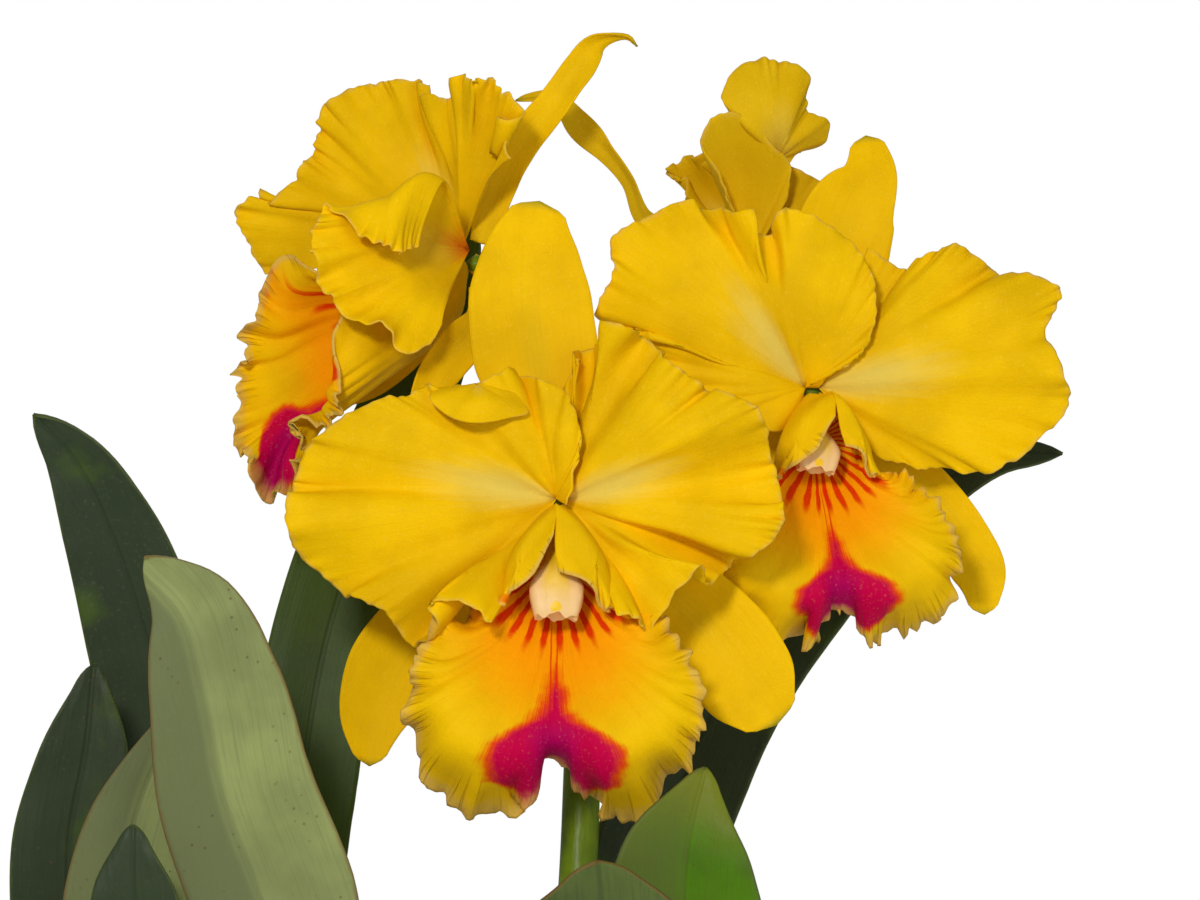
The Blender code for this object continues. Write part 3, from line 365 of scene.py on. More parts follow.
# How far the rhizome's underside lies above the bark, and how far a pseudobulb runs on to its leaf's foot.
RHIZOME_RISE = 1.4
LEAF_FOOT = 2.2
# The furrows round a pseudobulb.
FURROWS = 11

# The flower stem and the four stalks that leave it, with the radius at each point.
STEM_LINE = [(36, 3, 214.3), (38, 7, 240), (41, 13, 270), (42.5, 22, 305), (43, 34, 345), (46, 44, 380),
             (51, 50, 402)]
STEM_RADII = [5.2, 5.4, 5.4, 5.2, 4.8, 4.4, 3.6]
STALKS = {
    "front": ([(45, 42, 374), (42, 30, 380), (38, 16, 382)], [3.0, 3.0, 3.4]),
    "right": ([(48, 47, 392), (64, 56, 402), (86, 58, 409), (100, 51, 411)], [3.0, 2.8, 3.0, 3.4]),
    "left": ([(50, 50, 400), (40, 58, 418), (28, 60, 434), (19, 56, 443)], [3.0, 2.8, 3.0, 3.4]),
    "rear": ([(50, 50, 400), (62, 60, 422), (78, 68, 440), (88, 76, 448)], [3.0, 2.8, 3.0, 3.4]),
}
SHEATH = dict(
    line=[(34.5, 12.5, 215), (37, 17.5, 232), (40, 22.5, 250), (43, 28, 268)],
    half=[4, 7, 6.5, 1.2], channel=0.7)

# The column's half-width and half-depth at even steps from its foot to the end of its cap.
COLUMN_WIDE = [1.3, 2.2, 2.6, 3.0, 3.8, 6.4, 8.2, 7.6, 6.4]
COLUMN_DEEP = [1.3, 2.2, 2.8, 3.4, 4.4, 5.2, 5.0, 4.2, 3.2]
# Chosen folds of a petal: each is its place along the margin, its width there, its depth and how far out
# from the claw it starts. The depth is towards the viewer where the margin runs to the left over the top.
PETAL_FOLDS = {
    "front_left_petal": ((0.14, 0.035, 6, 0.2), (0.215, 0.014, -9, 0.35), (0.35, 0.016, 5, 0.65),
                         (0.5, 0.05, 4, 0.1), (0.58, 0.03, -5, 0.2), (0.8, 0.04, 4, 0.1),
                         (0.87, 0.022, -9, 0.2), (0.94, 0.03, 10, 0.2)),
    "front_right_petal": ((0.095, 0.016, 9, 0.25), (0.15, 0.035, -11, 0.25), (0.23, 0.02, 4, 0.6),
                          (0.42, 0.04, -5, 0.1), (0.55, 0.04, 4, 0.1), (0.76, 0.025, 12, 0.1),
                          (0.85, 0.03, -11, 0.12), (0.93, 0.02, 5, 0.2)),
    "right_left_petal": ((0.56, 0.014, 5, 0.5), (0.6, 0.012, -7, 0.55), (0.64, 0.015, 5, 0.5),
                         (0.3, 0.06, 3, 0.1)),
    "right_right_petal": ((0.5, 0.05, -4, 0.1), (0.25, 0.025, 4, 0.4)),
    "left_far_petal": ((0.6, 0.018, 5, 0.3), (0.68, 0.018, -5, 0.35), (0.76, 0.018, 4, 0.45),
                       (0.83, 0.016, -4, 0.5)),
    "left_near_petal": ((0.55, 0.02, 3, 0.3), (0.7, 0.02, -3, 0.3)),
}
# Chosen folds of a lip, in the same way: the flaps on both sides of the notch curl under.
LIP_FOLDS = {
    "front": ((0.44, 0.018, -6, 0.8), (0.56, 0.018, -6, 0.8), (0.4, 0.012, 4, 0.8), (0.61, 0.012, 4, 0.8)),
    "right": ((0.43, 0.02, -8, 0.75), (0.58, 0.02, -8, 0.75), (0.38, 0.015, 6, 0.78),
              (0.64, 0.015, 5, 0.78)),
    "left": ((0.55, 0.03, -5, 0.7), (0.68, 0.025, 5, 0.7)),
}
# How deep each petal's frill is, as a share of the usual.
FRILL_SHARES = {"front_left_petal": 0.6, "front_right_petal": 0.7, "right_left_petal": 0.65,
                "right_right_petal": 0.7, "left_near_petal": 0.7, "rear_right_petal": 0.6}
# Where the edges of a lip's slit and the start of its margin lie in some of its rings, instead of at equal
# places on both sides: the right side laps over the left one.
LIP_OPENING = {
    "left": {1: [(0.2, 8.6, 1)], 2: [(0, 12.6, 0.5)], 3: [(-0.9, 18.3, 6), (-10, 21, 17)],
             4: [(-1.2, 20, 8), (-7, 23.5, 20), (-16, 20, 27.5)]},
    "right": {1: [(-0.5, 9.4, 1)], 2: [(-0.8, 13.6, 0.5)], 3: [(-0.6, 20, 12), (9.5, 22, 18.5)],
              4: [(0.4, 21.5, 18.5), (8.5, 24, 21.5), (14, 20, 29.5)]},
}
# How deep a lip's frill is, as a share of the usual, and how far its markings are moved towards the throat.
LIP_FRILLS = {"left": 1.5, "right": 1.1}
MARK_RISES = {"left": 0.02}
# The right lip's hood is wider on its left side and shifted along its slit, and it leans less than its solid.
LIP_HOODS = {"right": {"hood": 1.6, "slit": 5, "lean": 3, "size": 0.84}}
# How much of the frill is left out along a lip's near margin, as a share of it.
LIP_CALM = {"left": 0.55}
# How a column stands where it leans another way than its lip.
COLUMN_TURNS = {"right": {"lean": -8, "size": 0.72, "column": 0.88, "turn": 12}}


def rgb(red, green, blue):
    """A linear colour for a screen colour with channels from 0 to 255."""
    def linear(value):
        value /= 255
        return value / 12.92 if value <= 0.04045 else ((value + 0.055) / 1.055) ** 2.4
    return linear(red), linear(green), linear(blue)


def colour(name, red, green, blue):
    """A colour property with its default given as a screen colour."""
    return bpy.props.FloatVectorProperty(
        name=name, description=f"Colour of the {name.lower()}", subtype="COLOR", size=3, min=0, max=1,
        default=rgb(red, green, blue))


def length(name, description, default):
    """A length property in metres, with its default given in millimetres."""
    return bpy.props.FloatProperty(
        name=name, description=description, default=default * MM, min=0, unit="LENGTH", subtype="DISTANCE")


class FlowerLook(bpy.types.PropertyGroup):
    """Sizes and colours of the blooms."""
    petal_thickness: length("Petal thickness", "Thickness of a petal in its middle", 0.9)
    frill_depth: length("Frill depth", "How far the petals' frilled margins stand off", 2.2)
    lip_frill_depth: length("Lip frill depth", "How far the lips' frilled margins stand off", 3.2)
    yellow: colour("Petal", 242, 193, 2)
    deep: colour("Petal shade", 212, 166, 2)
    # The pale midrib zone is a painted sheen: whitish light along the petals' midribs near the claw.
    pale: colour("Pale midrib zone", 222, 204, 104)
    rear: colour("Back of the petals", 222, 180, 14)
    tan: colour("Frill edge", 212, 172, 84)
    green: colour("Green sepal veins", 176, 176, 40)
    tip: colour("Sepal tip", 120, 130, 36)
    orange: colour("Lip throat", 252, 154, 0)
    stripe: colour("Throat stripes", 220, 44, 0)
    magenta: colour("Lip mark", 196, 0, 66)
    crimson: colour("Lip mark edge", 226, 32, 6)
    purple: colour("Lip mark middle", 146, 0, 92)
    # Painted shade in the creases between the pleats of a lip's margin.
    gap: colour("Between the pleats", 150, 96, 6)
    cream: colour("Anther cap", 238, 196, 132)
    column: colour("Column", 238, 196, 30)


class LeafLook(bpy.types.PropertyGroup):
    """Sizes and colours of the leaves."""
    thickness: length("Leaf thickness", "Thickness of a leaf beside its midrib", 2.2)
    dark: colour("Dark leaf", 56, 68, 44)
    dark_edge: colour("Dark leaf shade", 42, 52, 36)
    pale: colour("Pale leaf", 146, 156, 94)
    pale_shade: colour("Pale leaf shade", 100, 108, 70)
    green: colour("Green leaf", 70, 92, 28)
    bright: colour("Bright leaf", 74, 122, 8)
    bright_tip: colour("Bright leaf tip", 120, 122, 30)
    dull: colour("Dull leaf", 92, 108, 52)
    olive: colour("Olive patches", 88, 94, 42)
    scar: colour("Dry brown edge", 122, 84, 44)


class PlantLook(bpy.types.PropertyGroup):
    """Colours of the stem, the pseudobulbs and what they stand in."""
    stem: colour("Flower stem", 108, 130, 16)
    stem_shade: colour("Flower stem shade", 70, 96, 14)
    bulb: colour("Pseudobulb", 118, 134, 58)
    bulb_ridge: colour("Pseudobulb ridge", 160, 164, 92)
    papery: colour("Dry sheath", 206, 192, 158)
    bark: colour("Bark", 104, 66, 42)
    bark_dark: colour("Damp bark", 52, 32, 22)
    clay: colour("Clay", 190, 108, 72)
    clay_pale: colour("Lime bloom", 214, 164, 134)
    clay_dark: colour("Damp clay", 146, 76, 48)


class StageLook(bpy.types.PropertyGroup):
    """The plain studio that the plant stands in."""
    floor_radius: bpy.props.FloatProperty(
        name="Floor radius", description="Radius of the round floor", default=1.4, min=0.3, unit="LENGTH")
    floor: colour("Floor", 244, 244, 242)
    sky: bpy.props.FloatProperty(
        name="Soft light", description="Strength of the light from all round", default=0.26, min=0)
    key: bpy.props.FloatProperty(
        name="Main light", description="Power of the main light, in watts", default=13.8, min=0, unit="POWER")


class Value:
    """A number or colour in a material, which can be added, multiplied and so on like a plain number."""

    def __init__(self, finish, socket):
        self.finish = finish
        self.socket = socket

    def maths(self, operation, *others):
        return self.finish.node("Math", {"operation": operation}, dict(enumerate((self, *others))))

    def __add__(self, other):
        return self.maths("ADD", other)

    def __sub__(self, other):
        return self.maths("SUBTRACT", other)

    def __mul__(self, other):
        return self.maths("MULTIPLY", other)

    def __pow__(self, other):
        return self.maths("POWER", other)

    def __rsub__(self, other):
        return self * -1 + other

    __radd__ = __add__
    __rmul__ = __mul__

    def size(self):
        return self.maths("ABSOLUTE")

    def sine(self):
        return self.maths("SINE")

    def smooth(self, low, high):
        """0 below low, 1 above high and smooth between."""
        return self.finish.node(
            "MapRange", {"interpolation_type": "SMOOTHSTEP"},
            {"Value": self, "From Min": low, "From Max": high, "To Min": 0.0, "To Max": 1.0})


class Finish:
    """A material that is built up from nodes."""

    def __init__(self, name, roughness=0.5, **constants):
        self.material = bpy.data.materials.new(name)
        self.material.use_nodes = True
        self.tree = self.material.node_tree
        self.shader = self.tree.nodes["Principled BSDF"]
        self.shader.inputs["Roughness"].default_value = roughness
        for socket, value in constants.items():
            self.shader.inputs[socket.replace("_", " ")].default_value = value

    def node(self, kind, settings=None, inputs=None, output=0):
        """Adds a node: its settings come first, then the values or links of its sockets."""
        prefix = "" if kind.startswith("ShaderNode") else "ShaderNode"
        made = self.tree.nodes.new(prefix + kind)
        for name, setting in (settings or {}).items():
            if name == "stops":
                self.set_stops(made.color_ramp, setting)
            else:
                setattr(made, name, setting)
        for key, given in (inputs or {}).items():
            if isinstance(given, Value):
                self.tree.links.new(given.socket, made.inputs[key])
            else:
                made.inputs[key].default_value = given
        return Value(self, made.outputs[output])

    @staticmethod
    def set_stops(ramp, stops):
        ramp.elements[0].position = stops[0][0]
        ramp.elements[-1].position = stops[-1][0]
        for place, _ in stops[1:-1]:
            ramp.elements.new(place)
        for element, (_, shade) in zip(ramp.elements, stops):
            element.color = (*shade, 1) if isinstance(shade, tuple) else (shade, shade, shade, 1)

    def place(self):
        """Where the surface is, in the plant's own frame."""
        return self.node("TexCoord", output="Object")

    def drawn(self, name="drawn"):
        """The two ways across a sheet: its own map's first and second coordinate."""
        where = self.node("UVMap", {"uv_map": name})
        return tuple(self.node("SeparateXYZ", None, {0: where}, output) for output in ("X", "Y"))

    def vector(self, x, y, z=0.0):
        return self.node("CombineXYZ", None, {"X": x, "Y": y, "Z": z})

    def noise(self, where, scale, detail=3.0, roughness=0.5):
        return self.node("TexNoise", None, {"Vector": where, "Scale": scale, "Detail": detail,
                                            "Roughness": roughness}, "Fac")

    def cells(self, where, scale):
        return self.node("TexVoronoi", None, {"Vector": where, "Scale": scale}, "Distance")

    def stretch(self, where, *scale):
        return self.node("Mapping", None, {"Vector": where, "Scale": scale})

    def mix(self, factor, first, second):
        """From the first colour to the second as the factor goes from 0 to 1."""
        shades = [(*shade, 1) if isinstance(shade, tuple) else shade for shade in (first, second)]
        made = self.tree.nodes.new("ShaderNodeMix")
        made.data_type = "RGBA"
        for key, given in ((0, factor), (6, shades[0]), (7, shades[1])):
            if isinstance(given, Value):
                self.tree.links.new(given.socket, made.inputs[key])
            else:
                made.inputs[key].default_value = given
        return Value(self, made.outputs[2])

    def bump(self, height, depth, strength):
        inputs = {"Height": height, "Distance": depth * MM, "Strength": strength}
        return self.node("Bump", None, inputs, "Normal")

    def finish(self, shade, roughness, normal):
        """The material, with its colour, roughness and relief linked to the shader."""
        for socket, given in (("Base Color", shade), ("Roughness", roughness), ("Normal", normal)):
            if given is not None:
                self.tree.links.new(given.socket, self.shader.inputs[socket])
        return self.material


def petal_finish(name, look, main, zone, sepal=False, foot=0.0):
    """Yellow petal skin: a painted whitish sheen along the midrib, fine veins, sparkling cells with painted
    glints and a tan frill.
    """
    skin = Finish(name, roughness=0.55, Specular_IOR_Level=0.04)
    place = skin.place()
    across, along = skin.drawn()
    drift = skin.noise(place, 45, 3)
    ribs = skin.noise(skin.vector(across * 95, along * 2.5), 1, 3, 0.6)
    streaks = skin.noise(skin.vector(across * 22, along * 1.5), 1, 2, 0.5)
    cells = skin.cells(place, 1500)
    painted_glints = skin.noise(place, 1300, 2)
    shade = skin.mix(drift.smooth(0.35, 0.75) * 0.7, main, look["deep"])
    shade = skin.mix(ribs.smooth(0.5, 0.7) * 0.14, shade, look["deep"])
    if sepal:
        lines = (across * 380 + drift * 9).sine().smooth(0.0, 1.0)
        middle = (0.06 - across.size()).smooth(0, 0.05) * (0.9 - along).smooth(0, 0.5)
        shade = skin.mix(middle * (lines * 0.1 + 0.1), shade, look["green"])
        shade = skin.mix((along + (drift - 0.5) * 0.06).smooth(0.965, 1.0) * 0.6, shade, look["tip"])
    else:
        # Painted sheen: a pale whitish zone along the midrib near the claw, where the light catches the
        # petal.
        pale = (0.7 - along - across.size() * 0.9 + streaks * 0.3 - 0.15).smooth(0, 0.45) * (0.5 + 0.5 * ribs)
        shade = skin.mix(pale * zone, shade, look["pale"])
        if foot:
            near = (0.2 - along + (streaks - 0.5) * 0.2).smooth(0, 0.2)
            shade = skin.mix(near * foot, shade, look["stripe"])
        edge = (along + skin.noise(place, 420, 2) * 0.02).smooth(0.985, 1.008) * streaks.smooth(0.35, 0.65)
        shade = skin.mix(edge * 0.45, shade, look["tan"])
    # Painted glints: lighter yellow specks that stand in for light sparkling on the petal's cells.
    shade = skin.mix(painted_glints.smooth(0.58, 0.75) * 0.18, shade, (1.0, 0.72, 0.08))
    rough = 0.5 + drift * 0.14
    height = ribs * 0.22 + (1 - cells) * 0.12 + skin.noise(place, 230, 3) * 0.35
    return skin.finish(shade, rough, skin.bump(height, 0.5, 0.7))


def lip_finish(look):
    """The lip: yellow with an orange throat, fine red lines out of it and a two-lobed magenta mark."""
    skin = Finish("lip_skin", roughness=0.55, Specular_IOR_Level=0.05)
    place = skin.place()
    across, down = skin.drawn("plan")
    around, along = skin.drawn("drawn")
    fold, face = skin.drawn("fold")
    shown = (face - 0.5).smooth(0, 0.2)
    drift = skin.noise(place, 50, 3)
    ribs = skin.noise(skin.vector(around * 95, along * 2.5), 1, 3, 0.6)
    wobble = skin.noise(place, 190, 3) - 0.5
    flat = (0.8 - fold).smooth(0, 0.1) * shown
    shade = skin.mix(drift.smooth(0.35, 0.75) * 0.6, look["yellow"], look["deep"])
    shade = skin.mix(ribs.smooth(0.5, 0.7) * 0.16, shade, look["deep"])
    far = (across * across * 0.75 + (down - 0.38) * (down - 0.38)) ** 0.5
    shade = skin.mix((0.33 - far + wobble * 0.08).smooth(0, 0.26) * flat * 0.92, shade, look["orange"])
    below = down - FAN_FOOT
    turn = skin.node("Math", {"operation": "ARCTAN2"}, {0: across, 1: below})
    reach = (across * across + below * below) ** 0.5
    end = 0.25 + 0.03 * (turn * FAN_LINES).sine() + wobble * 0.05
    lines = (turn * FAN_LINES + wobble * 2.5).sine().smooth(-0.2, 0.5)
    fans = lines * (end - reach).smooth(0, 0.05) * (reach - 0.03).smooth(0, 0.03) * flat
    shade = skin.mix(fans * 0.95, shade, look["stripe"])
    thin = (across * 360 + wobble * 1.2).sine().smooth(0.35, 0.95) * (0.024 - across.size()).smooth(0, 0.008)
    veins = thin * (down - 0.3).smooth(0, 0.08) * (0.62 - down).smooth(0, 0.05)
    shade = skin.mix(veins * 0.8, shade, look["stripe"])
    half = skin.node("ValToRGB", {"stops": MARK_WIDTHS}, {"Fac": down})
    inside = half - 0.02 + wobble * 0.05 - across.size()
    fringe = (ribs - 0.5) * 0.05
    shade = skin.mix((inside + 0.034 + fringe).smooth(0, 0.04) * 0.9 * shown, shade, look["crimson"])
    shade = skin.mix((inside + fringe).smooth(-0.004, 0.032) * shown, shade, look["magenta"])
    core = (0.1 - across.size()).smooth(0, 0.08) * (down - 0.56).smooth(0, 0.1) * inside.smooth(0.02, 0.06)
    shade = skin.mix(core * 0.55 * shown, shade, look["purple"])
    pleats = skin.noise(skin.vector(around * 55, along * 1.2), 1, 2, 0.5)
    outer = (along + wobble * 0.1).smooth(0.82, 0.95)
    # Painted shade: dark radial slits in the creases between the pleats near the margin; the same mask also
    # dents the relief.
    slit_dent_and_shade = pleats.smooth(0.56, 0.66) * outer
    shade = skin.mix(slit_dent_and_shade * 0.35, shade, look["gap"])
    edge = (along + skin.noise(place, 300, 3) * 0.07).smooth(0.955, 1.03)
    shade = skin.mix(edge * 0.75, shade, look["tan"])
    painted_glints = skin.noise(place, 1300, 2)
    # Painted glints: lighter orange-yellow specks that stand in for light sparkling on the lip.
    shade = skin.mix(painted_glints.smooth(0.6, 0.75) * 0.1, shade, (1.0, 0.62, 0.06))
    rough = 0.5 + drift * 0.15
    height = ribs * 0.3 + (1 - skin.cells(place, 1500)) * 0.12 + skin.noise(place, 230, 3) * 0.35
    height = height - slit_dent_and_shade * 0.9
    return skin.finish(shade, rough, skin.bump(height, 0.6, 0.75))


def column_finish(look):
    """The waxy column: yellow from its foot and along its ridge, peach on the cap, with a yellow spot."""
    wax = Finish("column_wax", roughness=0.4, Specular_IOR_Level=0.3)
    place = wax.place()
    around, along = wax.drawn()
    spots = wax.noise(place, 420, 3)
    off = (around - 0.25).size()
    shade = wax.mix((along + (spots - 0.5) * 0.1).smooth(0.5, 0.68), look["column"], look["cream"])
    ridge = (0.12 - off + (spots - 0.5) * 0.03).smooth(0, 0.08) * (0.97 - along).smooth(0, 0.3)
    shade = wax.mix(ridge * 0.85, shade, look["column"])
    far = ((off * off) * 1.6 + (along - 0.94) * (along - 0.94)) ** 0.5
    shade = wax.mix((0.055 - far).smooth(0, 0.02), shade, look["yellow"])
    return wax.finish(shade, 0.36 + spots * 0.15, wax.bump(spots, 0.3, 0.6))


def leaf_finish(name, main, second, tip=None, scar=None, shine=0.4, painted_half_shade=0.2,
                midrib=0.0, patches=None):
    """Leathery leaf: fine lengthwise grain, a groove along the midrib with painted shade in it, painted shade
    on one half, blotches, specks and a worn edge.
    """
    skin = Finish(name, roughness=shine, Specular_IOR_Level=0.1)
    place = skin.place()
    across, along = skin.drawn()
    across = across - midrib
    blotch = skin.noise(place, 26, 4, 0.55)
    grain = skin.noise(skin.vector(across * 130, along * 5), 1, 4, 0.6)
    shade = skin.mix(blotch.smooth(0.32, 0.7) * 0.6, main, second)
    shade = skin.mix(grain.smooth(0.45, 0.7) * 0.3, shade, second)
    if patches:
        shade = skin.mix(skin.noise(place, 38, 3).smooth(0.54, 0.72) * 0.8, shade, patches)
    # Painted shade: the half of the leaf on one side of its midrib is darkened as if it were turned from the
    # light.
    shade = skin.mix((0 - across).smooth(-0.01, 0.03) * painted_half_shade, shade, second)
    scurf = skin.noise(place, 900, 2).smooth(0.58, 0.78) * blotch.smooth(0.4, 0.7)
    shade = skin.mix(scurf * 0.07, shade, (0.3, 0.34, 0.26))
    # Painted shade in the groove along the midrib; the same mask also sinks the groove in the relief.
    rib = (0.012 - across.size()).smooth(0, 0.01)
    shade = skin.mix(rib * 0.45, shade, second)
    specks = skin.cells(place, 330)
    marked = (0.16 - specks).smooth(0, 0.05) * skin.noise(place, 70, 2).smooth(0.5, 0.62)
    shade = skin.mix(marked * 0.6, shade, (0.09, 0.06, 0.03))
    if tip:
        shade = skin.mix((along + (blotch - 0.5) * 0.3).smooth(0.72, 1.0) * 0.8, shade, tip)
    edge = skin.drawn("rim")[0]
    worn = (edge + skin.noise(place, 300, 3) * 0.06).smooth(0.985, 1.03)
    shade = skin.mix(worn * 0.55, shade, scar or (0.1, 0.13, 0.03))
    rough = shine - 0.05 + blotch * 0.16 + marked * 0.2
    height = grain * 0.35 + skin.noise(place, 700, 3) * 0.25 + blotch * 0.5 - rib * 0.8
    return skin.finish(shade, rough, skin.bump(height, 0.45, 0.6))


def stalk_finish(look, flower):
    """The smooth green flower stem, yellow where it meets the blooms."""
    skin = Finish("stalk_skin", roughness=0.42, Specular_IOR_Level=0.2)
    place = skin.place()
    along = skin.drawn()[1]
    blotch = skin.noise(place, 60, 3)
    lines = skin.noise(skin.stretch(place, 900, 900, 40), 1, 3)
    shade = skin.mix(blotch.smooth(0.35, 0.7), look["stem"], look["stem_shade"])
    shade = skin.mix(lines.smooth(0.5, 0.75) * 0.3, shade, look["stem_shade"])
    shade = skin.mix(along.smooth(0.9, 1.0), shade, flower["deep"])
    return skin.finish(shade, 0.3 + blotch * 0.15, skin.bump(lines + blotch, 0.3, 0.5))


def bulb_finish(look):
    """Furrowed pseudobulb skin."""
    skin = Finish("bulb_skin", roughness=0.42)
    place = skin.place()
    around, along = skin.drawn()
    blotch = skin.noise(place, 55, 4)
    furrows = (around * 2 * math.pi * FURROWS).sine()
    shade = skin.mix(blotch.smooth(0.3, 0.75), look["bulb"], look["bulb_ridge"])
    shade = skin.mix(furrows.smooth(0.0, 1.0) * 0.25, shade, look["bulb_ridge"])
    shade = skin.mix((0.16 - along).smooth(0, 0.14) * 0.8, shade, look["papery"])
    lines = skin.noise(skin.vector(around * 90, along * 6), 1, 3)
    return skin.finish(shade, 0.36 + blotch * 0.18, skin.bump(lines + blotch, 0.4, 0.6))


def paper_finish(look):
    """Dry papery sheath with dark lengthwise fibres."""
    skin = Finish("dry_sheath", roughness=0.7)
    place = skin.place()
    around, along = skin.drawn()
    fibres = skin.noise(skin.vector(around * 60, along * 4), 1, 4, 0.65)
    stain = skin.noise(place, 90, 4)
    shade = skin.mix(fibres.smooth(0.35, 0.7) * 0.6, look["papery"], tuple(0.45 * v for v in look["papery"]))
    shade = skin.mix(stain.smooth(0.55, 0.75) * 0.5, shade, look["bark"])
    return skin.finish(shade, 0.62 + stain * 0.2, skin.bump(fibres, 0.5, 0.8))


def bark_finish(look):
    """Fibrous bark chips, darker where they are damp."""
    wood = Finish("bark_chip", roughness=0.85)
    place = wood.place()
    damp = wood.noise(place, 45, 4)
    grain = wood.noise(wood.stretch(place, 260, 700, 500), 1, 5, 0.65)
    shade = wood.mix(damp.smooth(0.3, 0.7), look["bark"], look["bark_dark"])
    shade = wood.mix(grain.smooth(0.5, 0.8) * 0.5, shade, tuple(1.6 * v for v in look["bark"]))
    return wood.finish(shade, 0.78 + grain * 0.18, wood.bump(grain, 0.9, 0.9))


def clay_finish(look):
    """Fired clay with a chalky lime bloom, damp patches, pits and faint turning lines."""
    clay = Finish("fired_clay", roughness=0.85)
    place = clay.place()
    cloud = clay.noise(place, 16, 6, 0.6)
    fine = clay.noise(place, 240, 4, 0.6)
    height = clay.node("SeparateXYZ", None, {0: place}, "Z")
    turning = (height * 2600 + cloud * 3).sine()
    shade = clay.mix(cloud.smooth(0.38, 0.62), look["clay"], look["clay_dark"])
    bloom = clay.noise(place, 34, 6, 0.7).smooth(0.5, 0.68) * (0.55 + 0.45 * fine)
    shade = clay.mix(bloom * 0.75, shade, look["clay_pale"])
    shade = clay.mix((0.012 - height).smooth(0, 0.01) * 0.5, shade, look["clay_dark"])
    pits = clay.cells(place, 420)
    shade = clay.mix((0.14 - pits).smooth(0, 0.06) * 0.5, shade, look["clay_dark"])
    relief = fine * 0.8 + turning * 0.12 + pits.smooth(0.05, 0.2) * 0.5
    return clay.finish(shade, 0.8 + fine * 0.15, clay.bump(relief, 0.35, 0.8))


def through(points, where, even=False):
    """Places on the smooth curve through the points, where 0 is the first point and 1 the last.

    The curve's own measure is chord length, or the points' count when even is set.
    """
    points = np.asarray(points, float)
    if points.ndim == 1:
        points = points[:, None]
    steps = np.ones(len(points) - 1) if even else np.linalg.norm(np.diff(points, axis=0), axis=1)
    knots = np.concatenate([[0], np.cumsum(np.maximum(steps, 1e-6))])
    knots /= knots[-1]
    slopes = np.gradient(points, knots, axis=0)
    where = np.clip(np.asarray(where, float), 0, 1)
    left = np.clip(np.searchsorted(knots, where, side="right") - 1, 0, len(points) - 2)
    span = (knots[left + 1] - knots[left])[:, None]
    x = ((where - knots[left])[:, None]) / span
    return (
        (2 * x**3 - 3 * x**2 + 1) * points[left]
        + (x**3 - 2 * x**2 + x) * span * slopes[left]
        + (3 * x**2 - 2 * x**3) * points[left + 1]
        + (x**3 - x**2) * span * slopes[left + 1]
    )


def seen(points):
    """Places in the plant's frame for points that are given as seen from in front."""
    points = np.array(points, float)
    spread = 1 + points[..., 1] / EYE_DISTANCE
    points[..., 0] = EYE_MIDDLE[0] + (points[..., 0] - EYE_MIDDLE[0]) * spread
    points[..., 2] = EYE_MIDDLE[1] + (points[..., 2] - EYE_MIDDLE[1]) * spread
    return points


def bell(place, middle, wide):
    """1 in the middle and falling off smoothly on both sides."""
    return np.exp(-(((place - middle) / wide) ** 2))


def unit(vectors):
    """The directions of vectors, each of length 1."""
    return vectors / np.maximum(np.linalg.norm(vectors, axis=-1, keepdims=True), 1e-9)


def normals_of(grid):
    """The surface normals of a grid of points."""
    return unit(np.cross(np.gradient(grid, axis=0), np.gradient(grid, axis=1)))


def run_along(points):
    """The distance run at each point of a line."""
    return np.concatenate([[0], np.cumsum(np.linalg.norm(np.diff(points, axis=0), axis=1))])


def margin_rows(count):
    """Shares from 0 at the foot to 1 at the margin, closer together towards the margin."""
    even = np.linspace(0, 1, count)
    return 0.35 * even + 0.65 * (1 - (1 - even) ** 2)


def near_margin(grid, rows):
    """How much room each ray has: 0 where the sheet is too short to be waved, 1 over most of it."""
    quarter = np.searchsorted(rows, 0.75)
    return np.clip(np.linalg.norm(grid[-1] - grid[quarter], axis=-1) / RUFFLE_ROOM, 0, 1)


def ruffled(grid, rows, depth, waves, phase):
    """The grid with waves across its last rows, lower where those rows lie close together."""
    s = rows[:, None, None]
    t = np.linspace(0, 1, grid.shape[1])[None, :, None]
    ends = np.sin(math.pi * np.clip(t, 0.02, 0.98)) ** 0.4 * near_margin(grid, rows)[None, :, None]
    swell = np.sin(2 * math.pi * waves * t + phase)
    swell = swell + 0.3 * s**3 * np.sin(5.1 * math.pi * waves * t + 2 * phase)
    return grid + normals_of(grid) * depth * s**3 * ends * swell


def petal_grid(piece, rows, columns):
    """Points of a broad petal: rays from its claw to its margin, cupped in the middle and ruffled."""
    s = rows[:, None, None]
    t = np.linspace(0, 1, columns)
    claw = seen(piece["claw"])
    margin = through(seen(piece["margin"]), t)
    foot = claw + CLAW_CENTRE * unit(margin - claw)
    cup = np.zeros((1, columns, 3))
    cup[0, :, 1] = through(piece["cup"], t, even=True)[:, 0]
    grid = foot + (margin - foot) * s + cup * np.sin(math.pi * s**0.8)
    return ruffled(grid, rows, piece["ruffle"], piece["waves"], piece["phase"])


def rows_through(rings, s):
    """A grid of points on the smooth surface through the rings, which have equal numbers of points."""
    rings = np.asarray(rings, float)
    flat = rings.reshape(len(rings), -1)
    return through(flat, s, even=True).reshape(len(s), -1, 3)


def folded_grid(piece, rows, columns):
    """Points of a petal that folds over, through its claw, its middle row and its margin."""
    t = np.linspace(0, 1, columns)
    claw = seen(piece["claw"])
    middle, margin = (through(seen(piece[row]), t, even=True) for row in ("middle", "margin"))
    foot = claw + CLAW_CENTRE * unit(middle - claw)
    grid = rows_through([foot, middle, margin], rows)
    return ruffled(grid, rows, piece["ruffle"], piece["waves"], piece["phase"])


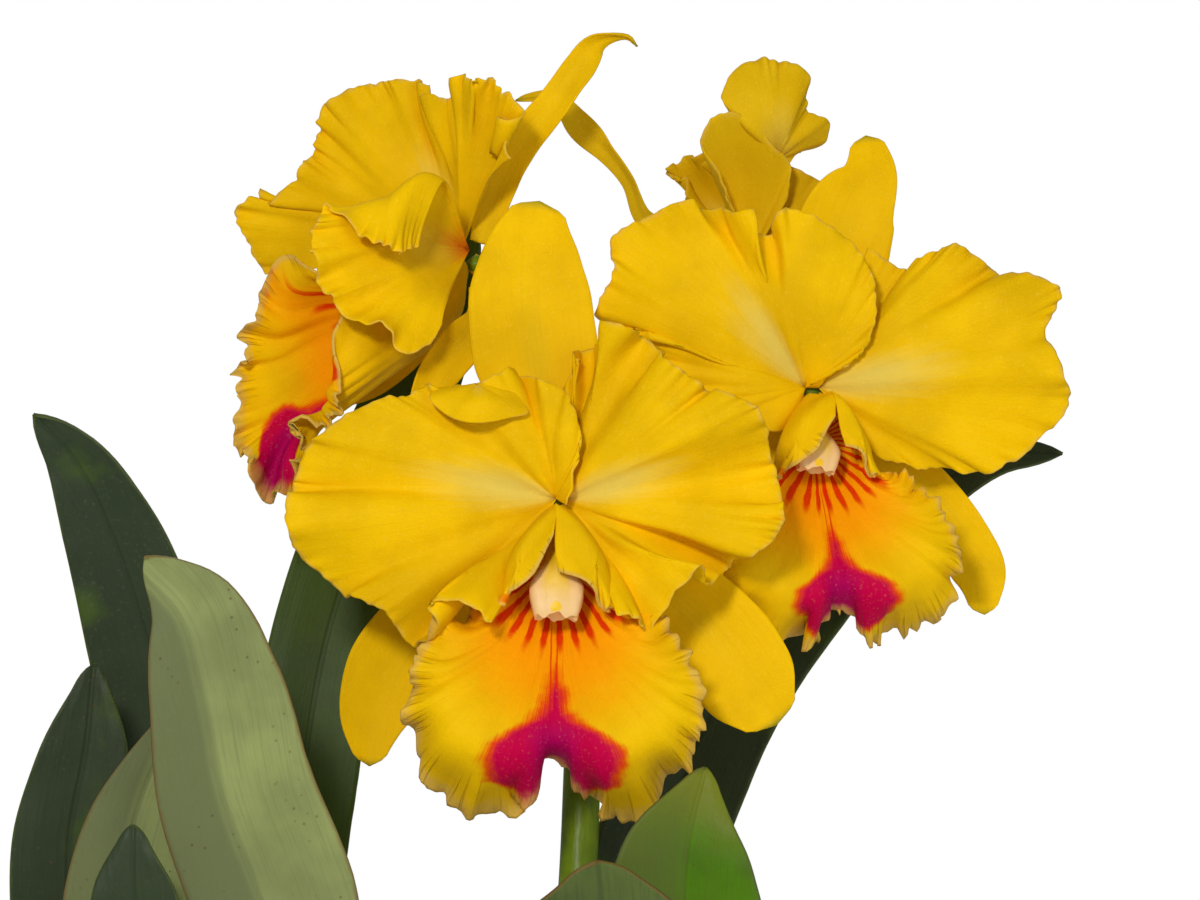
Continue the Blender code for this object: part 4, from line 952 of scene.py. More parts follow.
def strap_grid(piece, rows, columns, power=1.5):
    """Points of a strap-shaped piece, such as a sepal or a leaf, with its edges as the outer columns."""
    where = np.linspace(0, 1, rows)
    drawn = seen(piece["line"])
    line = through(drawn, where)
    marks = run_along(drawn)
    marks /= marks[-1]
    half = np.zeros(rows)
    blur = ((-0.06, 1), (-0.03, 2), (0, 3), (0.03, 2), (0.06, 1))
    for shift, weight in blur:
        half += weight / 9 * np.interp(where + shift, marks, piece["half"])
    half *= np.sqrt(np.clip((1 - where) / 0.03, 0, 1)) * 0.98 + 0.02
    roll = np.radians(np.interp(where, marks, piece.get("roll", np.zeros(len(marks)))))
    roll = np.convolve(np.pad(roll, 4, mode="edge"), np.ones(9) / 9, mode="valid")[:, None]
    along = unit(np.gradient(line, axis=0))
    side = unit(np.cross(along, np.array([0.0, -1.0, 0.0])))
    face = np.cross(side, along)
    side, face = side * np.cos(roll) + face * np.sin(roll), face * np.cos(roll) - side * np.sin(roll)
    v = np.linspace(-1, 1, columns)[None, :, None]
    half = half[:, None, None]
    lift = piece["channel"] * half * (np.abs(v) ** power)
    return line[:, None] + side[:, None] * v * half + face[:, None] * lift


def turned(points, lip, hub):
    """Points given across, forward and down from the hub, set in the plant's frame for one bloom."""
    across, forward, down = np.moveaxis(np.asarray(points, float), -1, 0)
    forward = forward * lip["depth"]
    share = np.where(across < 0, lip["left"], lip["right"])
    x, y, z = across * share * lip["size"], -forward * lip["size"], -down * lip["size"]
    pitch, turn, lean = (math.radians(lip[name]) for name in ("pitch", "turn", "lean"))
    y, z = y * math.cos(pitch) + z * math.sin(pitch), z * math.cos(pitch) - y * math.sin(pitch)
    x, z = x * math.cos(lean) - z * math.sin(lean), z * math.cos(lean) + x * math.sin(lean)
    x, y = x * math.cos(turn) - y * math.sin(turn), y * math.cos(turn) + x * math.sin(turn)
    return np.stack([x, y, z], axis=-1) + seen(hub)


def wander(seed, distance, step):
    """A smooth random value from -1 to 1 along a distance, with a new draw at each step."""
    draws = np.random.default_rng(seed).uniform(-1, 1, int(distance[-1] / step) + 4)
    return through(draws, distance / step / (len(draws) - 1), even=True)[:, 0]


def undulated(grid, rows, depth, size, seed):
    """The grid with soft swells and hollows of about one size, strongest out towards its margin."""
    draw = np.random.default_rng(seed)
    lift = np.zeros(grid.shape[:2])
    for _ in range(SWELLS):
        heading = unit(draw.normal(size=3)) * 2 * math.pi / (size * draw.uniform(0.7, 1.5))
        lift += np.sin(grid @ heading + draw.uniform(0, 2 * math.pi)) / SWELLS**0.5
    return grid + normals_of(grid) * (depth * lift * rows[:, None])[..., None]


def frilled(grid, rows, depth, seed, fine=0.5, calm=1):
    """The grid with a frilled margin: crimps that die out inwards, radial pleats and a nicked outline.

    Fine sets how strong the closest crimps are, and calm lowers the frill column by column.
    """
    margin = grid[-1]
    run = run_along(margin)
    room = near_margin(grid, rows) * calm
    inward = np.linalg.norm(grid - margin[None], axis=-1)
    swing = np.cumsum(1 + 0.55 * wander(seed, run, 9)) * (run[-1] / len(run))
    crimp = (0.6 + 0.5 * wander(seed + 1, run, 14)) * np.sin(swing * 2 * math.pi / BROAD_CRIMP)
    small = np.sin(swing * 2 * math.pi / CLOSE_CRIMP + 3 * wander(seed + 2, run, 12))
    small *= 0.7 + 0.5 * wander(seed + 6, run, 10)
    small += 0.7 * wander(seed + 3, run, 2.6)
    broad = depth * (room * crimp)[None] * np.exp(-inward / BROAD_FADE)
    close = fine * depth * (room * small)[None] * np.exp(-inward / CLOSE_FADE)
    pleat = PLEAT_HEIGHT * np.sin(swing * 2 * math.pi / PLEAT + 2 * wander(seed + 4, run, 8)) * room
    lift = broad + close + pleat[None] * rows[:, None] ** 6
    outward = unit(margin - grid[-4])
    nick = (0.5 * wander(seed + 5, run, 1.6) + 0.5 * wander(seed + 7, run, 5)) * room * depth * fine
    fade = np.exp(-inward / NICK_FADE)
    return grid + normals_of(grid) * lift[..., None] + outward[None] * (nick[None] * fade)[..., None]


def folds_of(grid, rows, folds):
    """The grid with chosen folds: each is where it lies along the margin, its width, depth and start."""
    t = np.linspace(0, 1, grid.shape[1])[None, :, None]
    facing = normals_of(grid)
    for where, wide, depth, begin in folds:
        ridge = bell(t, where, wide)
        rise = np.clip((rows[:, None, None] - begin) / (1 - begin), 0, 1)
        grid = grid + facing * depth * ridge * rise * rise * (3 - 2 * rise)
    return grid


def choose_only(obj):
    """Deselects everything and makes one object active."""
    bpy.ops.object.select_all(action="DESELECT")
    obj.select_set(True)
    bpy.context.view_layer.objects.active = obj


def apply_all(obj):
    choose_only(obj)
    for modifier in list(obj.modifiers):
        bpy.ops.object.modifier_apply(modifier=modifier.name)


def settle(obj, name, finish, slot, *nodes):
    """Names a finished piece and puts it on the frame in place of its solids."""
    obj.name = obj.data.name = name
    obj.data.materials.clear()
    obj.data.materials.append(finish)
    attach(obj, "root")
    if nodes:
        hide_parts(*nodes)
    return obj


def laid_grid(grid):
    """A grid primitive whose points are moved onto a grid of places, with its order of points."""
    rows, columns = grid.shape[:2]
    bpy.ops.object.select_all(action="DESELECT")
    bpy.ops.mesh.primitive_grid_add(x_subdivisions=columns - 1, y_subdivisions=rows - 1, size=2)
    obj = bpy.context.object
    flat = np.empty(len(obj.data.vertices) * 3)
    obj.data.vertices.foreach_get("co", flat)
    flat = flat.reshape(-1, 3)
    column = np.rint((flat[:, 0] + 1) / 2 * (columns - 1)).astype(int)
    row = np.rint((flat[:, 1] + 1) / 2 * (rows - 1)).astype(int)
    obj.data.vertices.foreach_set("co", (grid[row, column] * MM).ravel())
    obj.data.update()
    return obj, row, column


def clear_maps(mesh):
    """Removes the UV maps that a primitive comes with."""
    while mesh.uv_layers:
        mesh.uv_layers.remove(mesh.uv_layers[0])


def add_map(mesh, name, values):
    """A UV map from a pair of numbers at each point."""
    layer = mesh.uv_layers.get(name) or mesh.uv_layers.new(name=name)
    corners = np.empty(len(mesh.loops), int)
    mesh.loops.foreach_get("vertex_index", corners)
    layer.data.foreach_set("uv", values[corners].ravel())


def sheet(grid, thickness, maps, edge=0.45):
    """A thin closed sheet on the grid, thinner at its edges, with the maps as pairs of numbers.

    A fold map's second number becomes 1 on the face that looks back along the surface's normals and 0 on
    the other face.
    """
    obj, row, column = laid_grid(grid)
    mesh = obj.data
    clear_maps(mesh)
    for name, values in maps.items():
        add_map(mesh, name, np.asarray(values)[row, column])
    rows, columns = grid.shape[:2]
    sides = np.minimum(column, columns - 1 - column) / THIN_COLUMNS
    inward = np.minimum(sides, (rows - 1 - row) / THIN_ROWS)
    body = edge + (1 - edge) * np.clip(inward, 0, 1)
    group = obj.vertex_groups.new(name="body")
    for level in np.unique(body):
        group.add([int(i) for i in np.nonzero(body == level)[0]], float(level), "REPLACE")
    shell = obj.modifiers.new("Thickness", "SOLIDIFY")
    shell.thickness = thickness * MM
    shell.offset = 0
    shell.vertex_group = "body"
    count = len(mesh.vertices)
    apply_all(obj)
    mesh = obj.data
    if "fold" in maps:
        flipped = np.arange(len(mesh.vertices)) >= count
        fold = np.concatenate([np.asarray(maps["fold"])[row, column, 0]] * 2)
        add_map(mesh, "fold", np.stack([fold, flipped * 1.0], axis=-1))
    obj.vertex_groups.clear()
    bpy.ops.object.shade_smooth()
    return obj


def tube_frame(line, radii, where):
    """Points, radii and the two crosswise directions at places along a smooth line."""
    points = through(line, where)
    radius = through(radii, where, even=True)[:, 0]
    along = unit(np.gradient(points, axis=0))
    side = unit(np.cross(along, np.array([0.0, 1.0, 0.0])))
    return points, radius, side, np.cross(along, side)


def around_line(turn, side, face):
    """The direction at each turn round each point of a line."""
    return side[:, None] * np.cos(turn)[None, :, None] + face[:, None] * np.sin(turn)[None, :, None]


def tube(line, radii, mesh, furrow=0.0, furrows=0):
    """A closed round body along a smooth line, with its radius at even steps and furrows down its length."""
    rows, sides = mesh
    points, radius, side, face = tube_frame(line, radii, np.linspace(0, 1, rows))
    turn = np.linspace(0, 2 * math.pi, sides + 1)
    fade = np.sin(math.pi * np.linspace(0, 1, rows))[:, None] ** 0.5
    swell = 1 + furrow * np.cos(furrows * turn)[None] * fade
    reach = (radius[:, None] * swell)[..., None]
    return closed_body(points[:, None] + reach * around_line(turn, side, face), points[0], points[-1])


def closed_body(grid, first, last):
    """A solid from rings of points whose last column meets the first, closed at a point at each end."""
    rows, columns = grid.shape[:2]
    ends = [np.repeat(np.asarray(end, float)[None, None], columns, axis=1) for end in (first, last)]
    obj, row, column = laid_grid(np.concatenate([ends[0], grid, ends[1]]))
    mesh = obj.data
    clear_maps(mesh)
    add_map(mesh, "drawn", np.stack([column / (columns - 1), np.clip((row - 1) / (rows - 1), 0, 1)], axis=-1))
    choose_only(obj)
    bpy.ops.object.mode_set(mode="EDIT")
    bpy.ops.mesh.select_all(action="SELECT")
    bpy.ops.mesh.remove_doubles(threshold=0.000005)
    bpy.ops.mesh.normals_make_consistent(inside=False)
    bpy.ops.object.mode_set(mode="OBJECT")
    bpy.ops.object.shade_smooth_by_angle(angle=math.radians(50))
    return obj


def column_body(lip, hub):
    """One bloom's column: a keeled stalk that widens into a flattened cap with a notched end."""
    rows, sides = COLUMN_MESH
    where = np.linspace(0, 1, rows)
    points, _, side, face = tube_frame(np.array(COLUMN_LINE), COLUMN_WIDE, where)
    face = -face
    share = lip["column"] / lip["size"]
    wide = through(COLUMN_WIDE, where, even=True) * share
    deep = through(COLUMN_DEEP, where, even=True) * share
    turn = np.linspace(0, 2 * math.pi, sides + 1)[None]
    cap = np.clip((where - 0.55) / 0.2, 0, 1)[:, None]
    keel = 1 + 0.16 * bell(turn, math.pi / 2, 0.22) * (1 - 0.4 * cap)
    grooves = 1 - 0.07 * cap * sum(bell(turn, place, 0.12) for place in (1.05, 2.09))
    squared = 1 + 0.1 * cap * np.cos(4 * turn - math.pi)
    reach = keel * grooves * squared
    offset = (side[:, None] * (wide * np.cos(turn) * reach)[..., None]
              + face[:, None] * (deep * np.sin(turn) * reach)[..., None])
    nicks = 0.5 * np.sin(7 * turn) + 0.3 * np.sin(13 * turn + 1) - 0.9 * bell(turn, math.pi / 2, 0.5)
    ragged = nicks * np.clip((where - 0.93) / 0.07, 0, 1)[:, None]
    offset = offset - np.array([0.0, 0.0, -1.0]) * ragged[..., None]
    plain = dict(lip, depth=1.0, left=1.0, right=1.0)
    line = turned(points, lip, hub)
    grid = line[:, None] + turned(points[:, None] + offset, plain, hub) - turned(points, plain, hub)[:, None]
    inner = line[-1] - 2.0 * unit(line[-1] - line[-3])
    return closed_body(grid, line[0], inner)


def joined(objects):
    """One object from several."""
    bpy.ops.object.select_all(action="DESELECT")
    for obj in objects:
        obj.select_set(True)
    bpy.context.view_layer.objects.active = objects[0]
    bpy.ops.object.join()
    return bpy.context.object


def strap_maps(grid):
    """Maps of a strap: across in tenths of a metre and along from 0 to 1, and how near the edge it is."""
    rows, columns = grid.shape[:2]
    v = np.broadcast_to(np.linspace(-1, 1, columns)[None], (rows, columns))
    s = np.broadcast_to(np.linspace(0, 1, rows)[:, None], (rows, columns))
    half = np.linalg.norm(grid[:, -1] - grid[:, 0], axis=-1)[:, None] / 2
    return {"drawn": np.stack([v * half / 100, s], axis=-1),
            "rim": np.stack([np.maximum(np.abs(v), s**6), s], axis=-1)}


def fan_maps(grid, rows, midrib=0.5):
    """Maps of a petal: round the margin in tenths of a metre from its midrib, and out from its claw.

    The fold map runs from 0 in the middle of a lip's floor to 1 at the edges of its slit.
    """
    shape = grid.shape[:2]
    run = run_along(grid[-1])
    around = np.broadcast_to(((run - run[-1] * midrib) / 100)[None], shape)
    s = np.broadcast_to(rows[:, None], shape)
    fold = np.broadcast_to(np.abs(np.linspace(-1, 1, shape[1]))[None], shape)
    return {"drawn": np.stack([around, s], axis=-1), "fold": np.stack([fold, s], axis=-1)}


def shades(group):
    """The colours of a property group by name."""
    return {name: tuple(getattr(group, name)) for name in group.__annotations__
            if not isinstance(getattr(group, name), float)}


class ORCHID_OT_stage(bpy.types.Operator):
    """Adds the round floor, the soft studio light and the camera."""
    bl_idname = "orchid.stage"
    bl_label = "Studio and camera"

    def execute(self, context):
        look = context.scene.orchid_stage
        world = bpy.data.worlds.new("studio")
        world.use_nodes = True
        context.scene.world = world
        sky = world.node_tree.nodes["Background"]
        sky.inputs["Strength"].default_value = look.sky
        glow = world.node_tree.nodes.new("ShaderNodeBackground")
        glow.inputs["Color"].default_value = (1, 1, 1, 1)
        paths = world.node_tree.nodes.new("ShaderNodeLightPath")
        blend = world.node_tree.nodes.new("ShaderNodeMixShader")
        out = world.node_tree.nodes["World Output"]
        links = world.node_tree.links
        sky.inputs["Color"].default_value = (1, 1, 1, 1)
        links.new(paths.outputs["Is Camera Ray"], blend.inputs[0])
        links.new(sky.outputs[0], blend.inputs[1])
        links.new(glow.outputs[0], blend.inputs[2])
        links.new(blend.outputs[0], out.inputs[0])
        context.scene.view_settings.view_transform = "Standard"
        for name, place, size, share, shade in LIGHTS:
            light = bpy.data.lights.new(name, "AREA")
            light.size = size
            light.energy = look.key * share
            light.color = shade
            lamp = bpy.data.objects.new(name, light)
            lamp.location = place
            aim = Vector(LIGHT_AIM) - Vector(place)
            lamp.rotation_euler = aim.to_track_quat("-Z", "Y").to_euler()
            context.collection.objects.link(lamp)
        bpy.ops.object.select_all(action="DESELECT")
        bpy.ops.mesh.primitive_circle_add(vertices=96, radius=look.floor_radius, fill_type="NGON")
        floor = context.object
        floor.name = floor.data.name = "studio_floor"
        paper = Finish("floor_paper", roughness=0.9)
        grain = paper.noise(paper.place(), 800, 3)
        bright = tuple(look.floor)
        shade = paper.mix(grain * 0.3, bright, tuple(0.96 * v for v in bright))
        floor.data.materials.append(paper.finish(shade, None, paper.bump(grain, 0.1, 0.3)))
        lens = bpy.data.cameras.new("view")
        lens.sensor_width = SENSOR_WIDTH
        lens.lens = SENSOR_WIDTH * EYE_DISTANCE / VIEW_WIDTH
        lens.clip_end = 20
        camera = bpy.data.objects.new("view", lens)
        camera.location = (EYE_MIDDLE[0] * MM, -EYE_DISTANCE * MM, EYE_MIDDLE[1] * MM)
        camera.rotation_euler = (math.radians(90), 0, 0)
        context.collection.objects.link(camera)
        context.scene.camera = camera
        return {"FINISHED"}


class ORCHID_OT_petals(bpy.types.Operator):
    """Makes the sepals and the frilled petals of all four blooms."""
    bl_idname = "orchid.petals"
    bl_label = "Sepals and petals"

    def execute(self, context):
        look = context.scene.orchid_flower
        tones = shades(look)
        thick = look.petal_thickness / MM
        bright = petal_finish("petal_skin", tones, tones["yellow"], 0.8)
        sepal_skin = petal_finish("sepal_skin", tones, tones["yellow"], 0.0, sepal=True)
        folded = petal_finish("folded_petal_skin", tones, tones["yellow"], 0.15, foot=0.75)
        dull = petal_finish("rear_petal_skin", tones, tones["rear"], 0.3)
        dull_sepal = petal_finish("rear_sepal_skin", tones, tones["rear"], 0.0, sepal=True)
        for number, (name, piece) in enumerate(SEPALS.items()):
            grid = strap_grid(piece, *SEPAL_MESH)
            grid = edge_waved(grid, 0.7, SEPAL_SEED + SEED_STEP * number)
            obj = sheet(grid, thick * 1.1, strap_maps(grid))
            skin = dull_sepal if name.startswith("rear") else sepal_skin
            settle(obj, f"{name}_surface", skin, "petal", name)
        rows = margin_rows(PETAL_MESH[0])
        for number, (name, piece) in enumerate({**PETALS, "left_near_petal": FOLDED_PETAL}.items()):
            depth = look.frill_depth / MM * FRILL_SHARES.get(name, 1)
            make = folded_grid if "middle" in piece else petal_grid
            grid = make(piece, rows, PETAL_MESH[1])
            grid = folds_of(grid, rows, PETAL_FOLDS.get(name, ()))
            grid = undulated(grid, rows, SWELL_HEIGHT, SWELL_SIZE, SWELL_SEED + number)
            seed = PETAL_SEED + SEED_STEP * number
            grid = frilled(grid, rows, depth, seed)
            parts = [sheet(grid, thick, fan_maps(grid, rows))]
            for place, flap in enumerate(PETAL_FLAPS.get(name, ()), 1):
                grid = petal_grid(flap, rows, FLAP_COLUMNS)
                grid = frilled(grid, rows, depth * FLAP_FRILL, seed + 3 * place)
                parts.append(sheet(grid, thick, fan_maps(grid, 0.45 + 0.55 * rows)))
            skin = dull if name.startswith("rear") else folded if name == "left_near_petal" else bright
            settle(joined(parts), f"{name}_surface", skin, "petal", name)
        return {"FINISHED"}


class ORCHID_OT_lips(bpy.types.Operator):
    """Makes the four lips with their tubes, frilled blades and markings."""
    bl_idname = "orchid.lips"
    bl_label = "Lips"

    def execute(self, context):
        look = context.scene.orchid_flower
        skin = lip_finish(shades(look))
        for number, (name, lip) in enumerate(LIPS.items()):
            count, columns = REAR_LIP_MESH if name == "rear" else LIP_MESH
            rows = margin_rows(count)
            t = np.linspace(0, 1, columns)
            calm = 1 - 0.93 * np.clip((np.abs(np.linspace(-1, 1, columns)) - 0.58) / 0.1, 0, 1)
            calm = calm * (1 - LIP_CALM.get(name, 0) * np.clip((t - 0.65) / 0.1, 0, 1))
            grid = lip_grid(dict(lip, **LIP_HOODS.get(name, {})), HUBS[name], rows, columns)
            grid = folds_of(grid, rows, LIP_FOLDS.get(name, ()))
            depth = look.lip_frill_depth / MM * lip["size"] * LIP_FRILLS.get(name, 1)
            grid = frilled(grid, rows, depth, LIP_SEED + SEED_STEP * number, 0.6, calm)
            maps = fan_maps(grid, rows)
            maps["plan"] = lip_plan(rows, columns)[..., (0, 2)] / 100 + (0, MARK_RISES.get(name, 0))
            obj = sheet(grid, look.petal_thickness / MM, maps)
            settle(obj, f"{name}_lip_surface", skin, "lip", f"{name}_lip")
        return {"FINISHED"}


class ORCHID_OT_columns(bpy.types.Operator):
    """Makes the four columns with their anther caps."""
    bl_idname = "orchid.columns"
    bl_label = "Columns"

    def execute(self, context):
        wax = column_finish(shades(context.scene.orchid_flower))
        for name, lip in LIPS.items():
            body = column_body(dict(lip, **COLUMN_TURNS.get(name, {})), HUBS[name])
            settle(body, f"{name}_column_surface", wax, "column", f"{name}_column")
        return {"FINISHED"}


class ORCHID_OT_leaves(bpy.types.Operator):
    """Makes the nine leathery leaves."""
    bl_idname = "orchid.leaves"
    bl_label = "Leaves"

    def execute(self, context):
        look = context.scene.orchid_leaf
        tones = shades(look)
        dark = leaf_finish("dark_leaf_skin", tones["dark"], tones["dark_edge"], patches=tones["green"])
        # The pale leaf's one half is darkened with painted shade.
        pale = leaf_finish("pale_leaf_skin", tones["pale"], tones["pale_shade"], scar=tones["scar"],
                           shine=0.5, painted_half_shade=0.9, midrib=-0.04)
        # The bright leaf's one half is olive: partly olive mottling, partly painted shade.
        bright = leaf_finish("bright_leaf_skin", tones["bright"], tones["olive"], tip=tones["bright_tip"],
                             painted_half_shade=0.6, patches=tones["green"])
        dull = leaf_finish("dull_leaf_skin", tones["dull"], tones["dark"], scar=tones["scar"], shine=0.45,
                           patches=tones["green"])
        green = leaf_finish("green_leaf_skin", tones["green"], tones["dark"])
        special = {"leaf_front_right": bright, "leaf_front_low": dull, "leaf_behind": green}
        for number, (name, piece) in enumerate(LEAVES.items()):
            grid = strap_grid(piece, *LEAF_MESH, power=1.25)
            grid = edge_waved(grid, 0.8, LEAF_SEED + SEED_STEP * number)
            skin = special.get(name, pale if name in PALE_LEAVES else dark)
            obj = sheet(grid, look.thickness / MM, strap_maps(grid), edge=0.5)
            settle(obj, f"{name}_surface", skin, "pale_leaf" if name in PALE_LEAVES else "leaf", name)
        return {"FINISHED"}


class ORCHID_OT_stem(bpy.types.Operator):
    """Makes the flower stem, its four stalks and the dry sheath at its foot."""
    bl_idname = "orchid.stem"
    bl_label = "Flower stem"

    def execute(self, context):
        look = shades(context.scene.orchid_plant)
        parts = [tube(seen(STEM_LINE), STEM_RADII, STEM_MESH)]
        for name, (line, radii) in STALKS.items():
            parts.append(tube(seen(line + [HUBS[name]]), radii + [HUB_RADIUS], STALK_MESH))
            hub = seen(HUBS[name])
            ball = [hub + np.array((0, 0, HUB_RADIUS * share)) for share in (-1, -0.7, 0, 0.7, 1)]
            parts.append(tube(ball, [0.1, 0.7 * HUB_RADIUS, HUB_RADIUS, 0.7 * HUB_RADIUS, 0.1], HUB_MESH))
        stem = joined(parts)
        skin = stalk_finish(look, shades(context.scene.orchid_flower))
        settle(stem, "flower_stem_surface", skin, "stem", "flower_stem")
        grid = strap_grid(SHEATH, *SHEATH_MESH)
        cover = sheet(edge_waved(grid, 0.4, SHEATH_SEED), 0.9, strap_maps(grid))
        settle(cover, "stem_sheath_surface", paper_finish(look), "pale_leaf", "stem_sheath")
        return {"FINISHED"}


class ORCHID_OT_bulbs(bpy.types.Operator):
    """Makes the rhizome and the furrowed pseudobulbs with their dry sheaths."""
    bl_idname = "orchid.bulbs"
    bl_label = "Pseudobulbs"

    def execute(self, context):
        look = shades(context.scene.orchid_plant)
        lying = BARK_LEVEL + RHIZOME_RADIUS + RHIZOME_RISE
        parts = []
        wraps = []
        for index, line in enumerate(RHIZOMES):
            points = [(x, y, lying + 0.15 * index) for x, y in line]
            radii = [RHIZOME_RADIUS * 0.6] + [RHIZOME_RADIUS] * (len(line) - 2) + [RHIZOME_RADIUS * 0.6]
            parts.append(tube(points, radii, (24 * len(line), 28), 0.02, 7))
        for index, ((x, y), tip) in enumerate(BULBS):
            foot = np.array((x, y, lying - 1.5))
            top = seen(tip)
            line = [foot, (foot + top) / 2 + np.array((0, 0, BULB_BOW)), top]
            line[2] = top + LEAF_FOOT * unit(top - line[1])
            parts.append(tube(line, BULB_RADII, BULB_MESH, 0.035, FURROWS))
            wraps.append(bulb_wrap(line, index))
        body = joined(parts)
        settle(body, "rhizome_and_pseudobulbs_surface", bulb_finish(look), "bulb", "rhizome_and_pseudobulbs")
        settle(joined(wraps), "pseudobulb_sheaths", paper_finish(look), "pale_leaf")
        return {"FINISHED"}


class ORCHID_OT_bark(bpy.types.Operator):
    """Makes the bed of potting bark with rough chips on it."""
    bl_idname = "orchid.bark"
    bl_label = "Bark"

    def execute(self, context):
        draw = random.Random(BARK_SEED)
        reach = POT_RIM_RADIUS - POT_WALL - 8.5
        chips = []
        for index in range(CHIPS):
            radius = reach * math.sqrt((index + 0.5) / CHIPS)
            angle = index * GOLDEN_ANGLE
            size = (draw.uniform(9, 15), draw.uniform(5, 9), draw.uniform(3, 5.5))
            low, high = (0.2, 3.4) if index % 2 else (-1.5, 1.2)
            height = BARK_LEVEL + draw.uniform(low, high)
            place = Vector((radius * math.cos(angle), radius * math.sin(angle), height))
            lean = (draw.uniform(-0.5, 0.5), draw.uniform(-0.35, 0.35), draw.uniform(0, 2 * math.pi))
            chips.append(bark_chip(draw, size, place, lean))
        bed = tube([(0, 0, POT_FLOOR + 0.6), (0, 0, 50), (0, 0, BARK_LEVEL - 1)],
                   [POT_FOOT_RADIUS - POT_WALL - 1.2, 51, POT_RIM_RADIUS - POT_WALL - 8], BED_MESH)
        bark = joined([bed, *chips])
        settle(bark, "bark_chips", bark_finish(shades(context.scene.orchid_plant)), "bark", "bark")
        return {"FINISHED"}


class ORCHID_OT_pot(bpy.types.Operator):
    """Turns the clay pot: foot, wall, rolled rim, floor and three drain holes."""
    bl_idname = "orchid.pot"
    bl_label = "Clay pot"

    def execute(self, context):
        mouth = POT_RIM_RADIUS - POT_WALL - 3
        inside = POT_FOOT_RADIUS - POT_WALL
        shoulder = POT_HEIGHT - POT_RIM_HEIGHT
        foot, rim, top = POT_FOOT_RADIUS, POT_RIM_RADIUS, POT_HEIGHT
        profile = [
            (inside - 2, POT_FLOOR), (inside, POT_FLOOR + 2), (mouth - 3, shoulder), (mouth, top - 2.5),
            (mouth + 0.8, top - 0.8), (mouth + 2, top), (rim - 2.2, top), (rim - 0.6, top - 0.7),
            (rim, top - 2.4), (rim - 0.9, shoulder + 2.4), (rim - 1.6, shoulder + 0.7), (rim - 3, shoulder),
            (POT_BODY_RADIUS + 0.6, shoulder - 0.2), (POT_BODY_RADIUS, shoulder - 1.2), (foot + 0.2, 2.2),
            (foot - 0.6, 0.6), (foot - 1.8, 0)]
        bpy.ops.object.select_all(action="DESELECT")
        bpy.ops.mesh.primitive_circle_add(vertices=POT_SIDES * 4, radius=profile[0][0] * MM,
                                          location=(0, 0, POT_FLOOR * MM))
        pot = context.object
        bpy.ops.object.mode_set(mode="EDIT")
        bpy.ops.mesh.select_all(action="SELECT")
        for (last, low), (radius, high) in zip(profile, profile[1:]):
            bpy.ops.mesh.extrude_edges_move(TRANSFORM_OT_translate={"value": (0, 0, (high - low) * MM)})
            share = radius / last
            bpy.ops.transform.resize(value=(share, share, 1), center_override=(0, 0, high * MM))
        bpy.ops.mesh.edge_face_add()
        bpy.ops.mesh.select_all(action="SELECT")
        bpy.ops.mesh.region_to_loop()
        bpy.ops.mesh.edge_face_add()
        bpy.ops.mesh.select_all(action="SELECT")
        bpy.ops.mesh.normals_make_consistent(inside=False)
        bpy.ops.object.mode_set(mode="OBJECT")
        bpy.ops.object.transform_apply(location=True, rotation=True, scale=True)
        for index in range(DRAIN_HOLES):
            angle = 2 * math.pi * (index + 0.25) / DRAIN_HOLES
            place = (DRAIN_CIRCLE * math.cos(angle) * MM, DRAIN_CIRCLE * math.sin(angle) * MM, 0)
            bpy.ops.mesh.primitive_cylinder_add(
                vertices=40, radius=DRAIN_RADIUS * MM, depth=4 * POT_FLOOR * MM, location=place)
            cutter = context.object
            cut = pot.modifiers.new("Drain", "BOOLEAN")
            cut.operation = "DIFFERENCE"
            cut.object = cutter
            apply_all(pot)
            bpy.data.objects.remove(cutter)
        choose_only(pot)
        bpy.ops.object.shade_smooth_by_angle(angle=math.radians(35))
        settle(pot, "clay_pot", clay_finish(shades(context.scene.orchid_plant)), "clay", "pot")
        return {"FINISHED"}


def edge_waved(grid, depth, seed):
    """A strap whose two edges lift and fall gently on their own."""
    columns = grid.shape[1]
    run = run_along(grid[:, columns // 2])
    v = np.linspace(-1, 1, columns)[None]
    left = (wander(seed, run, 16) + 0.4 * wander(seed + 1, run, 5))[:, None]
    right = (wander(seed + 2, run, 16) + 0.4 * wander(seed + 3, run, 5))[:, None]
    lift = depth * (left * np.clip(-v, 0, 1) ** 2.5 + right * np.clip(v, 0, 1) ** 2.5)
    return grid + normals_of(grid) * lift[..., None]


def lip_rings(columns):
    """The rings of the lip before it is sized and turned, from one edge of the slit round to the other."""
    rings = []
    for index, ring in enumerate(LIP_RINGS):
        right = np.array(ring, float)
        left = right[:-1] * (-1, 1, 1)
        for side, moved in ((left, LIP_OPENING["left"]), (right, LIP_OPENING["right"])):
            if index in moved:
                side[:len(moved[index])] = moved[index]
        rings.append(through(np.concatenate([left, right[::-1]]), np.linspace(0, 1, columns), even=True))
    return rings


def lip_plan(rows, columns):
    """Where each point of a lip lies on a lip that is neither sized nor turned."""
    return rows_through(lip_rings(columns), rows)


def lip_grid(lip, hub, rows, columns):
    """Points of one bloom's lip."""
    t = np.linspace(0, 1, columns)
    wide = 1 + (lip.get("hood", 1) - 1) * np.clip((0.4 - t) / 0.15, 0, 1)
    shift = lip.get("slit", 0) * (bell(t, 0, 0.1) + bell(t, 1, 0.05))
    rings = []
    for index, ring in enumerate(lip_rings(columns)):
        moved = ring.copy()
        moved[:, 0] = ring[:, 0] * wide + shift * min(index / 2, 1)
        rings.append(turned(moved, lip, hub))
    if "rings" in lip:
        drawn = [through(seen(ring), np.linspace(0, 1, columns), even=True) for ring in lip["rings"]]
        rings[-len(drawn):] = drawn
    return ruffled(rows_through(rings, rows), rows, LIP_RUFFLE, LIP_WAVES, 0.6)


